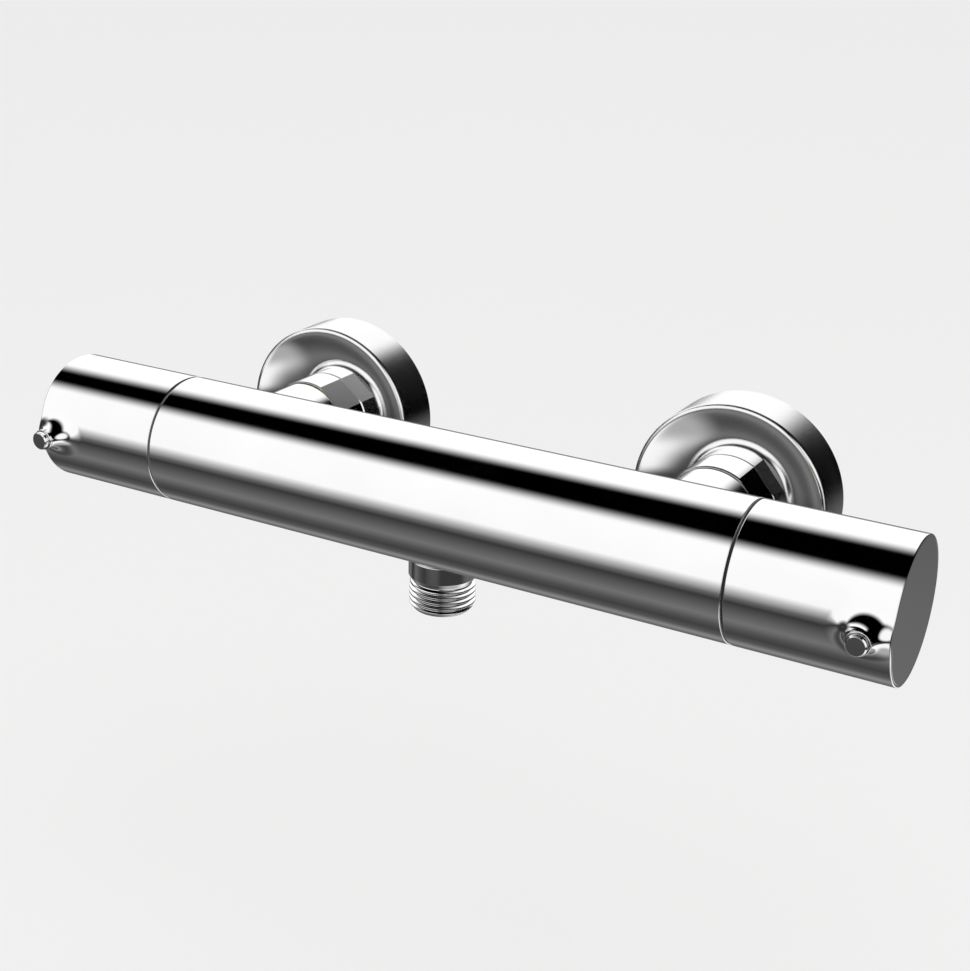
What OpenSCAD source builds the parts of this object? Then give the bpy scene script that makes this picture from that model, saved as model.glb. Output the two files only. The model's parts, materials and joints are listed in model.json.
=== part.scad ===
// Thermostatic shower valve, exposed bar pattern, for two supply pipes in a wall.
// X runs along the bar, +Z is up, the wall is the plane y = 0 and the room lies towards -Y.
// The origin is on the wall, midway between the two inlets.
// Left end: flow control. Right end: temperature control. Hot comes in on the left, cold on the right.

/* [Bar] */
// Mean diameter of the cartridges' thread, which the body and the handles are built around
mouth_d = 29.2; // [28.5:0.1:31]
// Wall of the body around that thread
spigot_wall = 3; // [2.6:0.1:3.4]
// Wall of the bush between the body and a handle
ring_wall = 1.15; // [1:0.05:1.5]
// Distance along the bar from the middle of an inlet to the middle of the seam beside it
inlet_to_seam = 25; // [24:0.5:27]
// Length of a handle, from the middle of its seam to its flat end
handle_len = 47; // [46:0.5:48]
// Width of the seam between the body and a handle
seam_gap = 0.8; // [0.6:0.1:1.2]
// Bevel on both edges of a seam
seam_bevel = 0.3; // [0.1:0.1:0.5]

/* [Handles] */
// Wall of a handle's shell
handle_wall = 2.4; // [2:0.1:2.5]
// Distance from a handle's flat end to the middle of its lever pin
pin_inset = 7.2; // [6.5:0.1:9]
// Length of a lever pin's head
pin_head_len = 1.2; // [1:0.1:3]
// Diameter of a lever pin's head
pin_head_d = 6; // [5.6:0.1:6.6]
// Diameter of a lever pin's collar
pin_collar_d = 7; // [6.8:0.1:8]
// Radius of the hollow flare around a lever pin
flare_r = 5.6; // [4:0.1:6]
// Thickness of the cap let into a handle's flat end
cap_t = 1.4; // [1:0.1:2]
// Width of the handle's edge around its end cap
cap_edge = 0.8; // [0.7:0.05:1.2]
// Bevel around a handle's flat end
cap_bevel = 0.35; // [0.2:0.05:0.6]

/* [Inlets] */
// Distance between the middles of the two inlets
inlet_pitch = 150; // [149:0.5:151]
// Diameter of an inlet stub on the body
stub_d = 31; // [29:0.5:31.5]
// Distance from the middle of the bar to the end of an inlet stub
stub_reach = 32; // [31:0.25:33]
// Wall of a union nut, from its thread to its round outside
nut_wall = 3.3; // [3:0.1:4]
// Length of a union nut
nut_len = 12.35; // [11.5:0.05:13]
// Gap between an inlet stub and its union nut
nut_gap = 0.8; // [0.4:0.1:1.2]
// Depth of the two wrench flats on a nut and on a rosette's neck
flat_depth = 1; // [0.6:0.1:1.4]
// Direction of the hot side's wrench flat, from +X towards +Z
flat_tilt_hot = 50; // [0:5:175]
// Direction of the cold side's wrench flat, from +X towards +Z
flat_tilt_cold = 40; // [0:5:175]

/* [Rosettes] */
// Diameter of a rosette
rosette_d = 64; // [60:0.5:70]
// Depth of a rosette, from its front rim to the wall
rosette_depth = 17; // [16:0.25:17.5]
// Depth of a rosette's dish behind its rim
dish_depth = 10; // [8.5:0.25:10.5]
// Radius of the dish's fillet at the neck
neck_fillet = 5; // [4:0.25:6]
// Width of a rosette's rim
rim_w = 1.6; // [1.2:0.1:2.4]

/* [Eccentric unions] */
// Offset of the wall thread above the middle of the inlet
union_offset = 7.5; // [6.5:0.25:8]
// Length of the thread that goes into the wall fitting
wall_thread_len = 15; // [12:0.5:20]
// Water way through the front of a union
union_front_bore_d = 16; // [14:0.5:17]
// Water way through the back of a union
union_back_bore_d = 14; // [12:0.5:15]

/* [Outlet] */
// Length of the outlet's collar
outlet_collar_len = 7.4; // [6:0.1:9]
// Length of the outlet's thread
outlet_thread_len = 10; // [9:0.25:11]
// Depth of the seat that the outlet's collar sits in, under the bar
outlet_recess_depth = 2.75; // [2:0.05:3.2]
// Water way through the outlet
outlet_bore_d = 14; // [12:0.5:15]

/* [Threads] */
// Outside diameter of a half-inch pipe thread
half_inch_d = 20.955;
// Outside diameter of a three-quarter-inch pipe thread
three_quarter_d = 26.441;
// Pitch of both pipe threads
pipe_pitch = 1.814;

/* [Motion] */
// Turn of the flow handle from closed to fully open, in degrees
flow_turn = 90; // [60:5:120]
// Turn of the temperature handle from its rest to full cold, in degrees
cold_turn = 180; // [120:5:180]
// Turn of the temperature handle from its rest to full hot, in degrees
hot_turn = 90; // [45:5:100]
// Travel of the regulator in one turn of the temperature handle
regulator_lead = 2; // [1:0.1:2.2]
// Lift of a check valve's poppet
check_lift = 2.5; // [1.5:0.1:2.6]

/* [Hidden] */
$fn = 72;

// General clearances
over = 1;             // overrun of a cut past its face
slip = 0.1;           // sliding or loose fit, radial
run_fit = 0.05;       // running fit of a shaft in its hole, radial
thread_fit = 0.05;    // between a male thread and its female one, radial
ring_fit = 0.03;      // between an O-ring and what it seals on
face_play = 0.1;      // between faces that pass each other

// Bar and body, measured from the middle of the bar
mouth_r = mouth_d / 2;
spigot_r = mouth_r + spigot_wall;
bush_r = spigot_r + ring_wall;
shell_in_r = bush_r + slip;
bar_r = shell_in_r + handle_wall;
inlet_x = inlet_pitch / 2;
seam_x = inlet_x + inlet_to_seam;
half_len = seam_x + handle_len;
body_end = seam_x - seam_gap / 2;
handle_start = seam_x + seam_gap / 2;

// Glide ring in a seam: a flange in the gap and a bush inside the handle's skirt
ring_sink = 0.9;      // depth of the dark groove that the ring leaves in the seam
spigot_len = 4;       // the body's spigot inside the handle
spigot_end = body_end + spigot_len;

// Cartridge mouth at each end of the body
mouth_depth = 12;
mouth_end = spigot_end - mouth_depth;

// Hexagon and neck of both cartridges, outside the body
hex_step = 0.4;       // how far the hexagon's flats cover the thread
hex_af = 2 * (mouth_r + hex_step);
hex_t = 4;
neck_len = 4.4;
neck_r = 8;
hex_end = spigot_end + hex_t;
neck_end = hex_end + neck_len;

// Spindles of both cartridges
spindle_r = 5;        // bearing part
spindle_bore_r = spindle_r + run_fit;
spline_n = 20;
spline_root_r = 3.75;
spline_tip_r = 4.2;
spline_len = 9;       // from the neck to the end of the spindle
spindle_end = neck_end + spline_len;
screw_r = 2.45;
tapped_r = screw_r + thread_fit;
tapped_depth = 11.5;
screw_engage = 11;
clip_t = 1;
clip_r = 6.3;
clip_groove_r = 3.7;
seal_ring_r = 0.75;   // cord radius of a spindle's O-rings
seal_ring_xs = [spigot_end - 4.6 * seal_ring_r, spigot_end + seal_ring_r];

// Stops between a cartridge's neck and the handle's adapter
stop_t = 3.1;
stop_lug_h = 3.5;
stop_step = 1;        // how far a stop lug reaches past the hexagon's flats
stop_out_r = hex_af / 2 + stop_step;
stop_in_r = stop_out_r - stop_lug_h;
lug_w = 30;           // width of the moving lug, in degrees
lug_play = 1;         // play at each end of the turn, in degrees
lug_at = 180;         // direction of the moving lug at rest, from +Y towards +Z
lug_clear = 0.3;

// Adapter between a spindle's splines and the handle
adapter_play = 0.5;
adapter_flange_t = 1.4;
adapter_r = 10;
adapter_x = hex_end + stop_t + adapter_play;
adapter_flange_end = adapter_x + adapter_flange_t;
adapter_end = spindle_end + slip * 2;

// Inside of a handle
web_t = 4;
hub_wall = 2.75;
hub_floor_t = 2;
hub_bore_r = adapter_r + thread_fit;
hub_r = hub_bore_r + hub_wall;
web_x = adapter_flange_end + slip * 2;
hub_floor_x = adapter_end + slip * 2;
hub_end = hub_floor_x + hub_floor_t;
screw_hole_r = screw_r + slip * 2.5;
screw_head_r = 4.25;
screw_head_t = 3;
screw_socket_af = 4;
cap_x = half_len - cap_t;
cap_seat_r = bar_r - cap_edge;
cap_seam_bevel = 0.1;
cap_plug_len = 3;
cap_plug_wall = 2.2;

// Lever pin, measured outwards from the middle of the bar
pin_x = half_len - pin_inset;
flare_sink = 0.2;     // how deep the flare's edge runs into the bar's surface
flare_rim = 0.35;     // straight part of the flare under the pin's collar
pin_groove_len = 0.6;
pin_groove_r = 2.4;
pin_collar_len = 0.9;
pin_bevel = 0.4;
pin_stud_r = 2.45;
flare_foot = bar_r - flare_sink;
pin_seat = flare_foot + flare_r + flare_rim;
pin_tip = pin_seat + pin_collar_len + pin_groove_len + pin_head_len;
pin_foot = bar_r - handle_wall - 1.6 * pin_stud_r;
boss_r = 5;
boss_foot = pin_foot - slip * 5;
flare_neck_r = pin_collar_d / 2 - pin_bevel / 2;

// Inlet stub, nipple, washer and nut, measured from the middle of the bar towards the wall
inlet_bore_r = 6.5;
stub_bevel = 0.4;
socket_r = 11;        // mean radius of the nipple's thread
socket_depth = 10;
socket_y = stub_reach - socket_depth;
nut_front = stub_reach + nut_gap;
nut_back = nut_front + nut_len;
nut_lip_t = 2.5;
nut_bevel = 0.4;
nut_thread_r = three_quarter_d / 2 - pipe_pitch * 0.32 + thread_fit;
nut_r = nut_thread_r + nut_wall;
flat_af = 2 * (nut_r - flat_depth);
nipple_r = socket_r - thread_fit;
flange_play = 0.79;
flange_step = 1.5;
nipple_flange_r = nut_thread_r - flange_play;
nipple_tail_r = nipple_flange_r - flange_step;
nipple_flange_t = 2;
nipple_flange_y = nut_front + nut_lip_t + face_play;
nipple_end = nipple_flange_y + nipple_flange_t;
nipple_lip_t = 0.6;
nipple_y = socket_y + slip * 2;
washer_t = 2;
washer_bore_r = 7.6;
washer_end = nipple_end + washer_t;
strainer_t = 0.5;
strainer_hole_r = 0.65;
strainer_ring_step = 2.4;

// Check valve inside a nipple
check_r = 7.9;
check_bore_r = check_r + slip;
check_wall = 1.2;
check_start = nipple_y + nipple_lip_t + slip;
check_end = nipple_end - 4 * slip;
check_seat_t = 1.8;
check_seat_r = 4.2;
check_seat_y = check_end - check_seat_t;
poppet_r = 5.4;
poppet_t = 1.4;
poppet_nose_t = 1.05;
poppet_stem_r = 1.2;
poppet_y = check_seat_y - run_fit;
guide_len = 3;
guide_wall = 1.25;
guide_rib_w = 1.2;
spring_block = 2.75;  // length of a poppet's spring when the poppet is fully lifted
guide_y = poppet_y - poppet_t - check_lift - spring_block - guide_len;
stem_y = guide_y - guide_len / 2;
check_wire_r = 0.22;
check_coil_r = 2;
check_coils = 4;

// Rosette, its neck and the eccentric union
rim_lead = 0.2;       // how far the rim stands in front of the neck
neck_y = nut_back + run_fit;
rim_y = neck_y - rim_lead;
axis_out = rim_y + rosette_depth;
rosette_r = rosette_d / 2;
rosette_wall = 1.6;
rosette_floor_t = 2;
rim_bevel = 0.5;
dish_r = rosette_r - rim_w;
dish_y = rim_y + dish_depth;
floor_y = dish_y + rosette_floor_t;
union_front_r = nut_thread_r - thread_fit;
union_barrel_r = 13.8;
union_barrel_y = floor_y + slip * 3;
union_barrel_rise = union_offset * 0.4;
union_shoulder = 0.2;   // how far the barrel stays behind the wall plane
thread_depth = pipe_pitch * 0.6403;

// Water ways in the body
passage_r = 5.5;      // mixed water, along the middle of the bar
hot_gallery_r = 3.1;
hot_gallery_y = mouth_r;
hot_gallery_lead = 2;
hot_floor_step = 1.6;
hot_floor = mouth_r - hot_floor_step;   // where the hot inlet's bore ends
out_gallery_r = 3.6;
out_gallery_step = 3;
out_gallery_z = mouth_r - out_gallery_step;

// Outlet nipple, measured down from the middle of the bar
outlet_recess_z = bar_r - outlet_recess_depth;
outlet_spigot_r = 9;
outlet_spigot_len = 3.7;
outlet_spigot_z = outlet_recess_z - outlet_spigot_len;
outlet_port_z = outlet_spigot_z - slip * 2;
outlet_chamber_z = out_gallery_z - out_gallery_r + slip * 2;
outlet_ring_r = 0.68;
outlet_ring_recess = 1.4;
outlet_ring_recess_r = outlet_spigot_r + 2 * outlet_ring_r + 2.4 * slip;
collar_lap = 0.2;     // how far the collar reaches past the O-ring's recess
collar_r = outlet_ring_recess_r + collar_lap;
collar_play = 0.6;
outlet_recess_r = collar_r + collar_play;
collar_top_bevel = 0.5;
collar_low_bevel = 0.8;
collar_low_bevel_h = 1.4;
collar_z = outlet_recess_z + face_play;
outlet_thread_z = collar_z + outlet_collar_len;
outlet_drop = outlet_thread_z + outlet_thread_len;
thread_nose = 0.4;

// Thermostat cartridge, measured from the middle of the bar
window_w = 2;
window_pitch = 10.4;
window_side = 7;
mix_lead = 10;        // from the cold inlet's middle to the shuttle's
mid_x = inlet_x - mix_lead;
hot_window_x = mid_x - window_pitch / 2;
cold_window_x = mid_x + window_pitch / 2;
hot_groove_end = hot_window_x + window_w / 2 + slip;
hot_groove_w = 6.3;
hot_groove_start = hot_groove_end - hot_groove_w;
cold_step = 1.6;      // from the thread to the bore for the cold end
hot_step = 2.5;       // from that bore to the one for the hot end
cold_land_r = mouth_r - cold_step;
hot_land_r = cold_land_r - hot_step;
hot_groove_r = hot_land_r + hot_step;
cord_r = 0.8;         // cord radius of the cartridge's O-rings
ring_b_lead = 1.7;    // from the hot groove to the O-ring beside it
ring_c_lead = 2.6;
step_lead = 1.9;
cart_nose = 3.5;      // from the last O-ring to the cartridge's end
chamber_play = 1.5;
ring_b_x = hot_groove_end + ring_b_lead;
ring_c_x = hot_groove_start - ring_c_lead;
step_x = ring_b_x + step_lead;
cart_start = ring_c_x - cart_nose;
chamber_start = cart_start - chamber_play;
cart_lip_t = 1.5;
cart_hot_r = hot_land_r - 2 * slip;
cart_cold_r = cold_land_r - slip;
cold_land_len = 9.6;
ring_a_lead = 4.6;    // from the mouth to the O-ring behind it
cart_land_x = mouth_end - cold_land_len;
ring_a_x = mouth_end - ring_a_lead;
mixing_wall = 2.9;
shuttle_bore_r = cart_hot_r - mixing_wall;
regulator_bore_r = 6.5;
regulator_depth = 7.6;
seat_depth = 5.4;     // how far the spindle's seat lies inside the thread
regulator_x = mouth_end - regulator_depth;
spindle_collar_r = 6.2;
spindle_collar_t = 1.5;
spindle_seat_x = mouth_end + seat_depth;
spindle_collar_x = spindle_seat_x - face_play - spindle_collar_t;

// Regulator, wax element and shuttle, at rest
regulator_nut_r = regulator_bore_r - slip;
regulator_play = regulator_lead * cold_turn / 360 + 5 * slip;   // room for the nut's travel
regulator_nut_x = regulator_x + regulator_play;
regulator_nut_len = 8;
regulator_floor_t = 1.5;
regulator_thread_r = 4;
regulator_ear_r = 7.7;
regulator_ear_w = 2.8;
regulator_ear_len = 6;
thread_end_play = regulator_lead * hot_turn / 360 + 7 * slip;
thread_end_x = regulator_nut_x + regulator_floor_t + thread_end_play;
shuttle_r = shuttle_bore_r - slip;
shuttle_wall = 1.1;
shuttle_len = 10;
shuttle_web_t = 1.5;
shuttle_web_x = mid_x - shuttle_web_t / 3;
shuttle_holes = 8;
shuttle_hole_r = 0.75;
wax_bulb_r = 3.2;
wax_flange_step = 1;
wax_flange_r = wax_bulb_r + wax_flange_step;
wax_flange_t = 1.4;
wax_guide_r = 2.6;
wax_piston_r = 1.5;
wax_bulb_len = 13.5;
wax_piston_len = 6.4;
return_wire_r = 0.5;
return_coil_r = (wax_bulb_r + shuttle_bore_r) / 2;
return_coils = 5;
coil_seat = 0.1;      // play at each end of a spring

// Ceramic headwork, measured from the middle of the bar
headwork_depth = 12.1;
headwork_stand = 1;    // from the seat to the end of the housing
seat_x = mouth_end - headwork_depth;
headwork_step = 3.6;
headwork_bore_r = mouth_r - headwork_step;
headwork_x = seat_x + headwork_stand;
headwork_gap = 2.1;
headwork_wall = 1.2;
headwork_r = headwork_bore_r - headwork_gap;
headwork_in_r = headwork_r - headwork_wall;
headwork_seal_t = 3.5;
disc_r = headwork_in_r - slip;
headwork_seal_w = 2.4;
headwork_seal_in_r = disc_r - headwork_seal_w;
disc_t = 2.5;
fixed_disc_x = seat_x + headwork_seal_t;
moving_disc_x = fixed_disc_x + disc_t + run_fit;
disc_back_x = moving_disc_x + disc_t;
disc_port_in_r = 2.2;
disc_rim = 1.2;
disc_port_out_r = disc_r - disc_rim;
disc_port_w = 76;     // width of a disc's port, in degrees
tongue_w = 2.9;
tongue_len = 8;
tongue_depth = 1.15;
drive_r = 4;          // spindle behind the disc
shoulder_r = 6;
shoulder_t = 1.5;
shoulder_depth = 0.9;
shoulder_x = mouth_end + shoulder_depth;
headwork_window_w = 3.6;
headwork_window_lap = 0.45;
headwork_window_x = disc_back_x - headwork_window_lap;
face_ring_r = 0.85;
face_recess_wall = 1.85;
face_recess_r = mouth_r + face_recess_wall;
face_recess_depth = 2;

// Shapes and placements shared by several pieces

// Points along an arc, from angle a0 to a1
function arc(cx, cy, r, a0, a1, n = 12) =
    [for (i = [0 : n]) [cx + r * cos(a0 + (a1 - a0) * i / n), cy + r * sin(a0 + (a1 - a0) * i / n)]];

// Outline of a splined shaft or bore
function spline_points(n, root, tip) = [
    for (i = [0 : n - 1], k = [0 : 3])
        let (a = 360 / n * (i + [0.05, 0.3, 0.55, 0.8][k]), r = [root, tip, tip, root][k])
        [r * cos(a), r * sin(a)]
];

// Crests and roots of a pipe thread that starts at z0 and runs towards +z, as a profile
function thread_points(crest, z0, turns) = [
    for (i = [0 : turns - 1], k = [0 : 3])
        let (z = z0 + i * pipe_pitch + [0, 1 / 3, 1 / 2, 5 / 6][k] * pipe_pitch)
        [k == 0 || k == 3 ? crest - thread_depth : crest, z]
];

// Origin on the middle of the bar
module on_bar() {
    translate([0, -axis_out, 0]) children();
}

// The same shape at the flow end, which mirrors the temperature end
module flow_end() {
    on_bar() mirror([1, 0, 0]) children();
}

// Turned piece on the X axis, from points of radius and x
module turned_x(points) {
    rotate([90, 0, 90]) rotate_extrude() polygon(points);
}

// Turned piece on an axis towards the wall, from points of radius and distance
module turned_y(points) {
    rotate([-90, 0, 0]) rotate_extrude() polygon(points);
}

// Plain tube on the X axis
module tube_x(r_in, r_out, x0, x1) {
    turned_x([[r_in, x0], [r_out, x0], [r_out, x1], [r_in, x1]]);
}

// Rod on the X axis
module rod_x(r, x0, x1) {
    translate([x0, 0, 0]) rotate([90, 0, 90]) cylinder(r = r, h = x1 - x0);
}

// O-ring on the X axis
module o_ring_x(r_mid, cord, x) {
    translate([x, 0, 0]) rotate([90, 0, 90]) rotate_extrude() translate([r_mid, 0]) circle(r = cord);
}

// Part of a ring on the X axis, centred on a direction from +Y towards +Z
module sector_x(r_in, r_out, x0, x1, centre, width) {
    translate([x0, 0, 0]) rotate([90, 0, 90]) rotate([0, 0, centre - width / 2])
        rotate_extrude(angle = width) translate([r_in, 0]) square([r_out - r_in, x1 - x0]);
}

// Local z points forward from the bar at the lever pin
module at_lever() {
    translate([pin_x, 0, 0]) rotate([90, 0, 0]) children();
}

// Origin on the middle of the bar at an inlet, -1 hot and 1 cold
module at_inlet(side) {
    translate([side * inlet_x, -axis_out, 0]) children();
}

// Wound spring from z = 0 to z = height, as one unbroken tube of 6 sides and 8 rings a coil
function coil_rings(coils) = 8 * coils;
function coil_point(k, s, coils, r, wire, height) =
    let (a = 360 / 8 * k, b = 60 * s, q = r + wire * cos(b),
        z = wire + (height - 2 * wire) * k / coil_rings(coils) + wire * sin(b))
    [q * cos(a), q * sin(a), z];
function coil_gap(coils, r, wire, height) = min([
    for (k = [0 : coil_rings(coils) - 8], s = [0 : 5], t = [0 : 5])
        norm(coil_point(k, s, coils, r, wire, height) - coil_point(k + 8, t, coils, r, wire, height))
]);

module wound_spring(coils, r, wire, height) {
    rings = coil_rings(coils);
    points = [for (k = [0 : rings], s = [0 : 5]) coil_point(k, s, coils, r, wire, height)];
    sides = [
        for (k = [0 : rings - 1], s = [0 : 5], h = [0, 1])
            let (a = 6 * k + s, b = 6 * k + (s + 1) % 6)
            h == 0 ? [a, b, b + 6] : [a, b + 6, a + 6]
    ];
    ends = [
        for (s = [1 : 4], h = [0, 1])
            h == 0 ? [0, s + 1, s] : [6 * rings, 6 * rings + s, 6 * rings + s + 1]
    ];
    echo("least gap in a spring", coil_gap(coils, r, wire, height));
    polyhedron(points = points, faces = concat(sides, ends));
}

// Cut for two wrench flats around an axis towards the wall
module wrench_cut(tilt, y0, y1, outer) {
    for (turn = [0, 180])
        rotate([0, -tilt - turn, 0])
            translate([flat_af / 2, y0, -outer])
                cube([outer - flat_af / 2, y1 - y0, 2 * outer]);
}

// Body, seams and outlet

module body_outside() {
    turned_x([
        [0, -spigot_end], [spigot_r, -spigot_end], [spigot_r, -body_end],
        [bar_r - seam_bevel, -body_end], [bar_r, -body_end + seam_bevel],
        [bar_r, body_end - seam_bevel], [bar_r - seam_bevel, body_end],
        [spigot_r, body_end], [spigot_r, spigot_end], [0, spigot_end],
    ]);
    for (side = [-1, 1])
        translate([side * inlet_x, 0, 0])
            turned_y([
                [0, 0], [stub_d / 2, 0], [stub_d / 2, stub_reach - stub_bevel],
                [stub_d / 2 - stub_bevel, stub_reach], [0, stub_reach],
            ]);
}

// Chamber of the thermostat, open at the right end
module thermostat_chamber() {
    turned_x([
        [0, chamber_start], [hot_land_r, chamber_start],
        [hot_land_r, hot_groove_start], [hot_groove_r, hot_groove_start],
        [hot_groove_r, hot_groove_end], [hot_land_r, hot_groove_end],
        [hot_land_r, step_x], [cold_land_r, step_x],
        [cold_land_r, mouth_end], [mouth_r, mouth_end],
        [mouth_r, spigot_end + over], [0, spigot_end + over],
    ]);
}

// Chamber of the headwork, open at the left end
module headwork_chamber() {
    mirror([1, 0, 0]) turned_x([
        [0, seat_x], [headwork_bore_r, seat_x], [headwork_bore_r, mouth_end],
        [mouth_r, mouth_end], [mouth_r, spigot_end - face_recess_depth],
        [face_recess_r, spigot_end - face_recess_depth],
        [face_recess_r, spigot_end + over], [0, spigot_end + over],
    ]);
}

// Bore of an inlet stub down to its floor
module inlet_bore(side, floor_at) {
    translate([side * inlet_x, 0, 0])
        turned_y([
            [0, floor_at], [inlet_bore_r, floor_at], [inlet_bore_r, socket_y],
            [socket_r, socket_y], [socket_r, stub_reach + over], [0, stub_reach + over],
        ]);
}

// Port for the outlet nipple, with the recess that its collar and O-ring sit in
module outlet_port() {
    mirror([0, 0, 1]) rotate_extrude() polygon([
        [0, outlet_chamber_z], [outlet_bore_d / 2, outlet_chamber_z],
        [outlet_bore_d / 2, outlet_port_z],
        [outlet_spigot_r + thread_fit, outlet_port_z],
        [outlet_spigot_r + thread_fit, outlet_recess_z - outlet_ring_recess],
        [outlet_ring_recess_r, outlet_recess_z - outlet_ring_recess],
        [outlet_ring_recess_r, outlet_recess_z], [outlet_recess_r, outlet_recess_z],
        [outlet_recess_r, outlet_drop], [0, outlet_drop],
    ]);
}

module valve_body() {
    color("silver") on_bar() difference() {
        body_outside();
        thermostat_chamber();
        headwork_chamber();
        inlet_bore(-1, hot_floor);
        inlet_bore(1, cold_land_r / 2);
        outlet_port();
        rod_x(passage_r, -seat_x - over, chamber_start + over);
        translate([0, hot_gallery_y, 0])
            rod_x(hot_gallery_r, -inlet_x - hot_gallery_lead, hot_groove_end);
        translate([0, 0, -out_gallery_z])
            rod_x(out_gallery_r, -seat_x - over, 0);
    }
}

module outlet_nipple() {
    crest = half_inch_d / 2;
    turns = floor((outlet_thread_len - thread_nose) / pipe_pitch);
    color("silver") on_bar() mirror([0, 0, 1]) rotate_extrude() polygon(concat(
        [
            [outlet_bore_d / 2, outlet_spigot_z], [outlet_spigot_r, outlet_spigot_z],
            [outlet_spigot_r, collar_z], [collar_r - collar_top_bevel, collar_z],
            [collar_r, collar_z + collar_top_bevel],
            [collar_r, outlet_thread_z - collar_low_bevel_h],
            [collar_r - collar_low_bevel, outlet_thread_z],
        ],
        thread_points(crest, outlet_thread_z + thread_nose / 2, turns),
        [
            [crest - thread_depth, outlet_drop - thread_nose],
            [crest - thread_depth - thread_nose, outlet_drop],
            [outlet_bore_d / 2, outlet_drop],
        ]
    ));
}

module outlet_o_ring() {
    color("dimgray") on_bar()
        translate([0, 0, -outlet_recess_z + outlet_ring_recess / 2])
            rotate_extrude()
                translate([(outlet_spigot_r + outlet_ring_recess_r) / 2, 0])
                    circle(r = outlet_ring_r);
}

// Ring that fills a seam and carries the handle's skirt
module glide_ring() {
    flange_r = bar_r - ring_sink;
    flange_end = body_end + seam_gap - face_play;
    color("black") turned_x([
        [spigot_r + thread_fit, body_end], [flange_r, body_end], [flange_r, flange_end],
        [bush_r, flange_end], [bush_r, spigot_end - face_play],
        [spigot_r + thread_fit, spigot_end - face_play],
    ]);
}
module glide_ring_flow() { flow_end() glide_ring(); }
module glide_ring_temperature() { on_bar() glide_ring(); }

// Inlet unions, one set for each side

// Threaded nipple in the inlet stub, whose flange holds the union nut
module inlet_nipple(side) {
    color("goldenrod") at_inlet(side) turned_y([
        [inlet_bore_r, nipple_y], [nipple_r, nipple_y], [nipple_r, stub_reach],
        [nipple_tail_r, stub_reach], [nipple_tail_r, nipple_flange_y],
        [nipple_flange_r, nipple_flange_y], [nipple_flange_r, nipple_end],
        [check_bore_r, nipple_end], [check_bore_r, nipple_y + nipple_lip_t],
        [inlet_bore_r, nipple_y + nipple_lip_t],
    ]);
}
module inlet_nipple_hot() { inlet_nipple(-1); }
module inlet_nipple_cold() { inlet_nipple(1); }

// Check valve cartridge: a cage with its seat on the wall side and a guide for the poppet
module check_housing(side) {
    in_r = check_r - check_wall;
    bush = poppet_stem_r + run_fit;
    color("white") at_inlet(side) {
        turned_y([
            [in_r, check_start], [check_r, check_start], [check_r, check_end],
            [check_seat_r, check_end], [check_seat_r, check_seat_y], [in_r, check_seat_y],
        ]);
        difference() {
            union() {
                turned_y([
                    [0, guide_y], [bush + guide_wall, guide_y],
                    [bush + guide_wall, guide_y + guide_len], [0, guide_y + guide_len],
                ]);
                for (turn = [0, 120, 240])
                    rotate([0, turn, 0])
                        translate([0, guide_y, -guide_rib_w / 2])
                            cube([in_r + check_wall / 2, guide_len, guide_rib_w]);
            }
            translate([0, guide_y - over, 0]) rotate([-90, 0, 0])
                cylinder(r = bush, h = guide_len + 2 * over);
        }
    }
}
module check_housing_hot() { check_housing(-1); }
module check_housing_cold() { check_housing(1); }

// Poppet, shut against its seat
module check_poppet(side) {
    nose_r = check_seat_r - 3 * slip;
    color("ivory") at_inlet(side) turned_y([
        [0, stem_y], [poppet_stem_r, stem_y], [poppet_stem_r, poppet_y - poppet_t],
        [poppet_r, poppet_y - poppet_t], [poppet_r, poppet_y], [nose_r, poppet_y],
        [nose_r * 0.8, poppet_y + poppet_nose_t], [0, poppet_y + poppet_nose_t],
    ]);
}
module check_poppet_hot() { check_poppet(-1); }
module check_poppet_cold() { check_poppet(1); }

module check_spring(side) {
    y0 = guide_y + guide_len + coil_seat;
    y1 = poppet_y - poppet_t - coil_seat;
    color("gainsboro") at_inlet(side) translate([0, y0, 0]) rotate([-90, 0, 0])
        wound_spring(check_coils, check_coil_r, check_wire_r, y1 - y0);
}
module check_spring_hot() { check_spring(-1); }
module check_spring_cold() { check_spring(1); }

module filter_washer(side) {
    color("dimgray") at_inlet(side) turned_y([
        [washer_bore_r, nipple_end], [nipple_flange_r, nipple_end],
        [nipple_flange_r, washer_end], [washer_bore_r, washer_end],
    ]);
}
module filter_washer_hot() { filter_washer(-1); }
module filter_washer_cold() { filter_washer(1); }

// Perforated disc in the washer: one hole, then rings of 6 and 12
module strainer(side) {
    y0 = (nipple_end + washer_end - strainer_t) / 2;
    color("lightgray") at_inlet(side) translate([0, y0, 0]) rotate([-90, 0, 0]) difference() {
        cylinder(r = washer_bore_r - slip, h = strainer_t);
        for (ring = [0 : 2], i = [0 : max(ring * 6 - 1, 0)])
            rotate([0, 0, 360 * i / max(ring * 6, 1)])
                translate([ring * strainer_ring_step, 0, -over])
                    cylinder(r = strainer_hole_r, h = strainer_t + 2 * over, $fn = 24);
    }
}
module strainer_hot() { strainer(-1); }
module strainer_cold() { strainer(1); }

module union_nut(side, tilt) {
    lip_end = nut_front + nut_lip_t;
    color("silver") at_inlet(side) difference() {
        turned_y([
            [nipple_tail_r + 2 * slip, nut_front], [nut_r - nut_bevel, nut_front],
            [nut_r, nut_front + nut_bevel], [nut_r, nut_back - nut_bevel],
            [nut_r - nut_bevel, nut_back], [nut_thread_r, nut_back],
            [nut_thread_r, lip_end], [nipple_tail_r + 2 * slip, lip_end],
        ]);
        wrench_cut(tilt, nut_front - over, nut_back + over, 2 * nut_r);
    }
}
module union_nut_hot() { union_nut(-1, flat_tilt_hot); }
module union_nut_cold() { union_nut(1, flat_tilt_cold); }

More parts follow.
